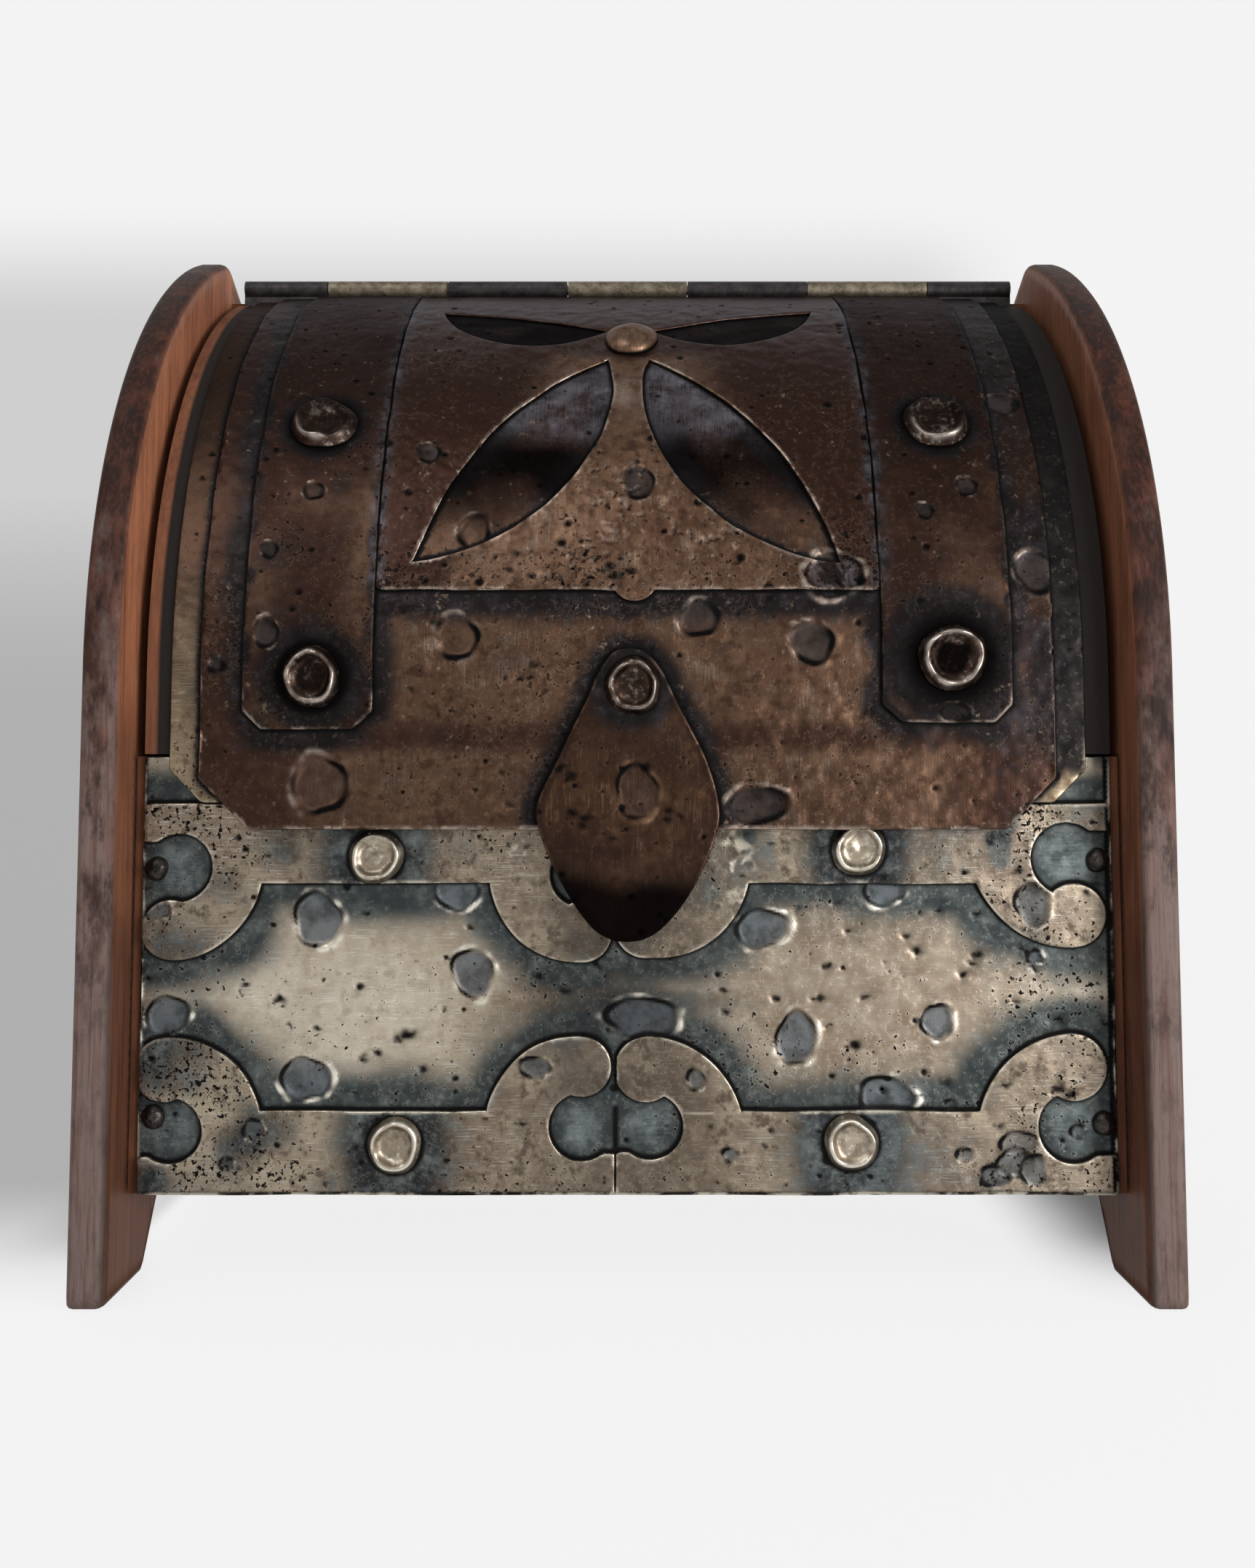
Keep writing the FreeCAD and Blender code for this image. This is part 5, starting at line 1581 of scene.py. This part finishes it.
# %% Studs as pieces
def stud_piece(name, patches, *worn_as):
    """Several studs as one object; the rest is what dress needs."""
    points, faces, marks = [], [], {"crest": [], "shade": [], "line": []}
    for patch in patches:
        made_points, made_faces, made_marks = stud_patch(*patch)
        faces += [[len(points) + int(corner) for corner in face] for face in made_faces]
        points += made_points.tolist()
        for mark in marks:
            marks[mark] += made_marks[mark].tolist()
    print(f"{name}: {len(patches)} studs")
    return dress(shaped(name, [[part * MM for part in point] for point in points], faces, marks), *worn_as)


def front_patch(x, z, face, *rest):
    """A stud on the front of the box."""
    return ((x, face, z), (1, 0, 0), (0, 0, 1), *rest)


def dome_patch(x, s, base, *rest):
    """A stud on the lid, s up and over from the spring line."""
    angle = max(s, 0) / COPPER_RADIUS
    centre = (x, DOME_Y - base * math.cos(angle), DOME_Z + base * math.sin(angle) + min(s, 0))
    return (centre, (1, 0, 0), (0, math.sin(angle), math.cos(angle)), *rest)


# %% Finish of the studs
stud_brass = aged_metal(
    "stud_brass", [(228, 222, 208), (176, 164, 146), (130, 116, 100), (92, 82, 72), (40, 38, 36),
                   (96, 92, 84), (84, 88, 90)], streak=(3, 3, 3))
stud_copper = aged_metal(
    "stud_copper", [(176, 164, 154), (76, 58, 49), (54, 40, 34), (36, 28, 26), COPPER_DARK, COPPER_PALE,
                    (60, 54, 52)], streak=(3, 3, 3))
print("stud metals:", stud_brass.material.name, stud_copper.material.name)

# %% Hammered studs
PIN_PLACES = [(-102.0, 89.2), (101.9, 91.0), (-101.6, 36.4), (102.0, 35.0)]
BAND_FACE = CLAD_FACE - BAND_GAUGE
PLATE_FACE = COPPER_RADIUS + PLATE_GAUGE


def strap_stud(number, x, s):
    """The upper studs are dull, with a painted highlight on the lower part of the rim and painted shade
    above it; the lower ones are bright, and the lower left one is smaller.
    """
    radius = 7.2 if x < 0 and s < STRAP_MIDDLE_S else 8.0
    if s > STRAP_MIDDLE_S:
        polish_and_highlight, soot, lower_lit = 0.75, 0.7, True
    else:
        polish_and_highlight, soot, lower_lit = (1.0, 0.97, False) if x > 0 else (0.9, 0.8, False)
    return dome_patch(x, s, STRAP_RADIUS - 0.3, radius, 3.2, "ring", 23 + number, polish_and_highlight, soot, lower_lit)


stud_piece("hammered_studs", [front_patch(x, z, BAND_FACE + 0.1, 6.4, 2.5, "ring", 3 + number, 0.8, 0.0)
                              for number, (x, z) in enumerate(STUD_PLACES)],
           "box", "brass_studs", stud_brass, "band_rivets")
stud_piece("hammered_pins", [front_patch(x, z, CLAD_FACE + 0.1, 2.8, 2.2, "dome", 13 + number, 0.1, 0.0)
                             for number, (x, z) in enumerate(PIN_PLACES)],
           "box", "dark_pins", black_pin, "corner_pins")
stud_piece("hammered_strap_studs", [strap_stud(number, x, s) for number, (x, s) in
                                    enumerate(STRAP_STUDS["strap_left"] + STRAP_STUDS["strap_right"])],
           "lid", "copper_studs", stud_copper, "strap_rivets")
stud_piece("hammered_boss", [dome_patch(0.9, 93.6, PLATE_FACE - 0.3, 7.1, 3.6, "dome", 31, 0.1, 0.0)],
           "lid", "copper_studs", copper, "ornament_boss")
rivet_x, rivet_z, rivet_radius = PULL_RIVET
stud_piece("hammered_pull_rivet", [front_patch(rivet_x, rivet_z, pull_low.y + LEAN + 0.2, rivet_radius, 3.0,
                                               "ring", 37, 0.6, 0.5)],
           "lid", "copper_studs", stud_copper, "pull_rivet")

# %% [markdown]
# ## Solids that keep their own shape
# The hinge, its pin and screws and the plain boards inside are right as they are. They
# only get a finish.

# %% Finish of the plain solids
PLAIN = {
    "hinge_leaf_lid": dark_knuckle, "hinge_leaf_rail": pale_knuckle, "hinge_pin": pin_steel,
    "hinge_screws_lid": pin_steel, "hinge_screws_rail": pin_steel, "dowels": inner_wood,
    "bottom_board": inner_wood, "back_board": inner_wood, "front_board": inner_wood,
    "hinge_rail": inner_wood, "lid_shell": shell_wood,
}
for node, finish in PLAIN.items():
    solid = nodes[node]
    if not solid.material_slots:
        solid.data.materials.append(finish.material)
    for slot in solid.material_slots:
        slot.material = finish.material
print("plain solids:", len(PLAIN))

# %% [markdown]
# ## Room
# A white table that curves up into a backdrop gives a background without an edge. The
# paper shines by itself where it is seen or reflected, so it stays white without more
# light on the coffer, and it still takes the coffer's shadow. Soft grey shade is painted
# on it: on the left, above the lid and beside the feet.


# %% The sweep
def sweep(name, half_width, near, far, bend, height):
    """A floor that curves up behind the object, in metres."""
    steps = 16
    profile = [(near, 0.0), (far, 0.0)]
    profile += [(far + bend * math.sin(math.pi / 2 * step / steps),
                 bend * (1 - math.cos(math.pi / 2 * step / steps))) for step in range(1, steps + 1)]
    profile.append((far + bend, height))
    points = [(x, y, z) for y, z in profile for x in (-half_width, half_width)]
    faces = [(2 * row, 2 * row + 1, 2 * row + 3, 2 * row + 2) for row in range(len(profile) - 1)]
    return shaped(name, points, faces)


floor = sweep("white_sweep", 8.0, -3.0, 0.5, 0.5, 3.5)
print("sweep:", tuple(floor.dimensions))

# %% Shade on the paper
WHITE, GREY, FOOT_GREY = tone(245, 245, 245), tone(173, 173, 173), tone(92, 92, 92)
paper = Finish("paper")
paper.set(Base_Color=tone(242, 242, 242), Roughness=0.9)
across, depth, rise = (paper.axis(number) for number in range(3))


def larger(first, second):
    return paper.node("Math", {"operation": "MAXIMUM"}, {0: first, 1: second})


left_floor = (across + depth * 0.376).step(-0.128, -0.114, 1.0, 0.0) * depth.step(0.5, 0.9, 1.0, 0.0)
left_wall = (across + (depth - 1) * 0.42).step(-0.52, -0.1, 1.0, 0.0) * rise.step(0.16, 0.66, 1.0, 0.0)
left_wall = left_wall * depth.step(0.2, 0.4)
top_shade = (across - depth * 0.3).step(-0.05, 0.1, 1.0, 0.0) * rise.step(0.54, 0.67, 0.6, 0.0)
top_shade = top_shade * rise.step(0.2, 0.4)
shade = larger(larger(left_wall, left_floor), top_shade) * depth.step(-0.06, 0.05)
left_foot = across.step(-0.152, -0.125, 0.0, 0.3) * across.step(-0.12, -0.114, 1.0, 0.0)
left_foot = left_foot * depth.step(-0.03, 0.0)
right_foot = across.step(0.087, 0.122) * (across - depth * 0.15).step(0.119, 0.1215, 1.0, 0.0)
right_foot = right_foot * depth.step(-0.05, 0.0)
foot = (left_foot + right_foot) * depth.step(0.12, 0.2, 1.0, 0.0)
painted = paper.blend(foot, paper.blend(shade, WHITE, GREY), FOOT_GREY)
print(f"paper {WHITE[0]:.2f}, shade {GREY[0]:.2f}, beside the feet {FOOT_GREY[0]:.2f}")

# %% Glow of the paper
GLOW = 0.92
RAYS = ("Camera", "Glossy", "Transmission")
glow = paper.node("Emission", {}, {"Color": painted, "Strength": 1.0})
seen, glossy, through = (paper.node("LightPath", output=f"Is {ray} Ray") for ray in RAYS)
share = (seen + glossy + through).step(0.0, 1.0, 0.0, GLOW)
mixed = paper.node("MixShader", {}, {0: share, 1: Wire(paper, paper.surface.outputs["BSDF"]), 2: glow})
paper.feed(paper.tree.nodes["Material Output"].inputs["Surface"], mixed)
floor.data.materials.append(paper.material)
print("paper glows for", GLOW, "of what the camera sees")

# %% [markdown]
# ## Light
# One large soft lamp stands low on the right in front, which puts bright lines on the
# rims that face down and right; a weak one from above left keeps the top readable.


# %% Lamps
def soft_lamp(name, place, aim, size, power):
    lamp = bpy.data.lights.new(name, "AREA")
    lamp.shape, lamp.size, lamp.energy = "SQUARE", size, power
    made = placed(name, lamp)
    made.location = place
    made.rotation_euler = (Vector(aim) - Vector(place)).to_track_quat("-Z", "Y").to_euler()
    print(f"{name}: {power} W, {size} m")


AIM = (0, 0, 0.1)
soft_lamp("low_key", (0.6, -0.6, 0.14), AIM, 0.45, 6.5)
soft_lamp("high_fill", (-0.4, -0.8, 0.9), AIM, 0.6, 3)
world = bpy.data.worlds.new("room")
bpy.context.scene.world = world
world.use_nodes = True
world.node_tree.nodes["Background"].inputs["Color"].default_value = (1, 1, 1, 1)
world.node_tree.nodes["Background"].inputs["Strength"].default_value = 0.6
bpy.context.scene.view_settings.view_transform = "Standard"

# %% [markdown]
# ## Camera
# The camera stands low and close in front, a little below the middle of the box, and
# looks up by four degrees. The lens is shifted so the coffer sits in the middle.

# %% The camera
LOOK_UP = 3.99
camera = bpy.data.cameras.new("camera")
camera.sensor_fit = "VERTICAL"
camera.sensor_height = 36.0
camera.lens = 33.4
camera.shift_y = -0.0647
eye = placed("camera", camera)
eye.location = (0, -0.35975, 0.1075)
eye.rotation_euler = (math.radians(90 + LOOK_UP), 0, 0)
bpy.context.scene.camera = eye
print(f"camera: {camera.lens} mm, {-eye.location.y:.3f} m in front")
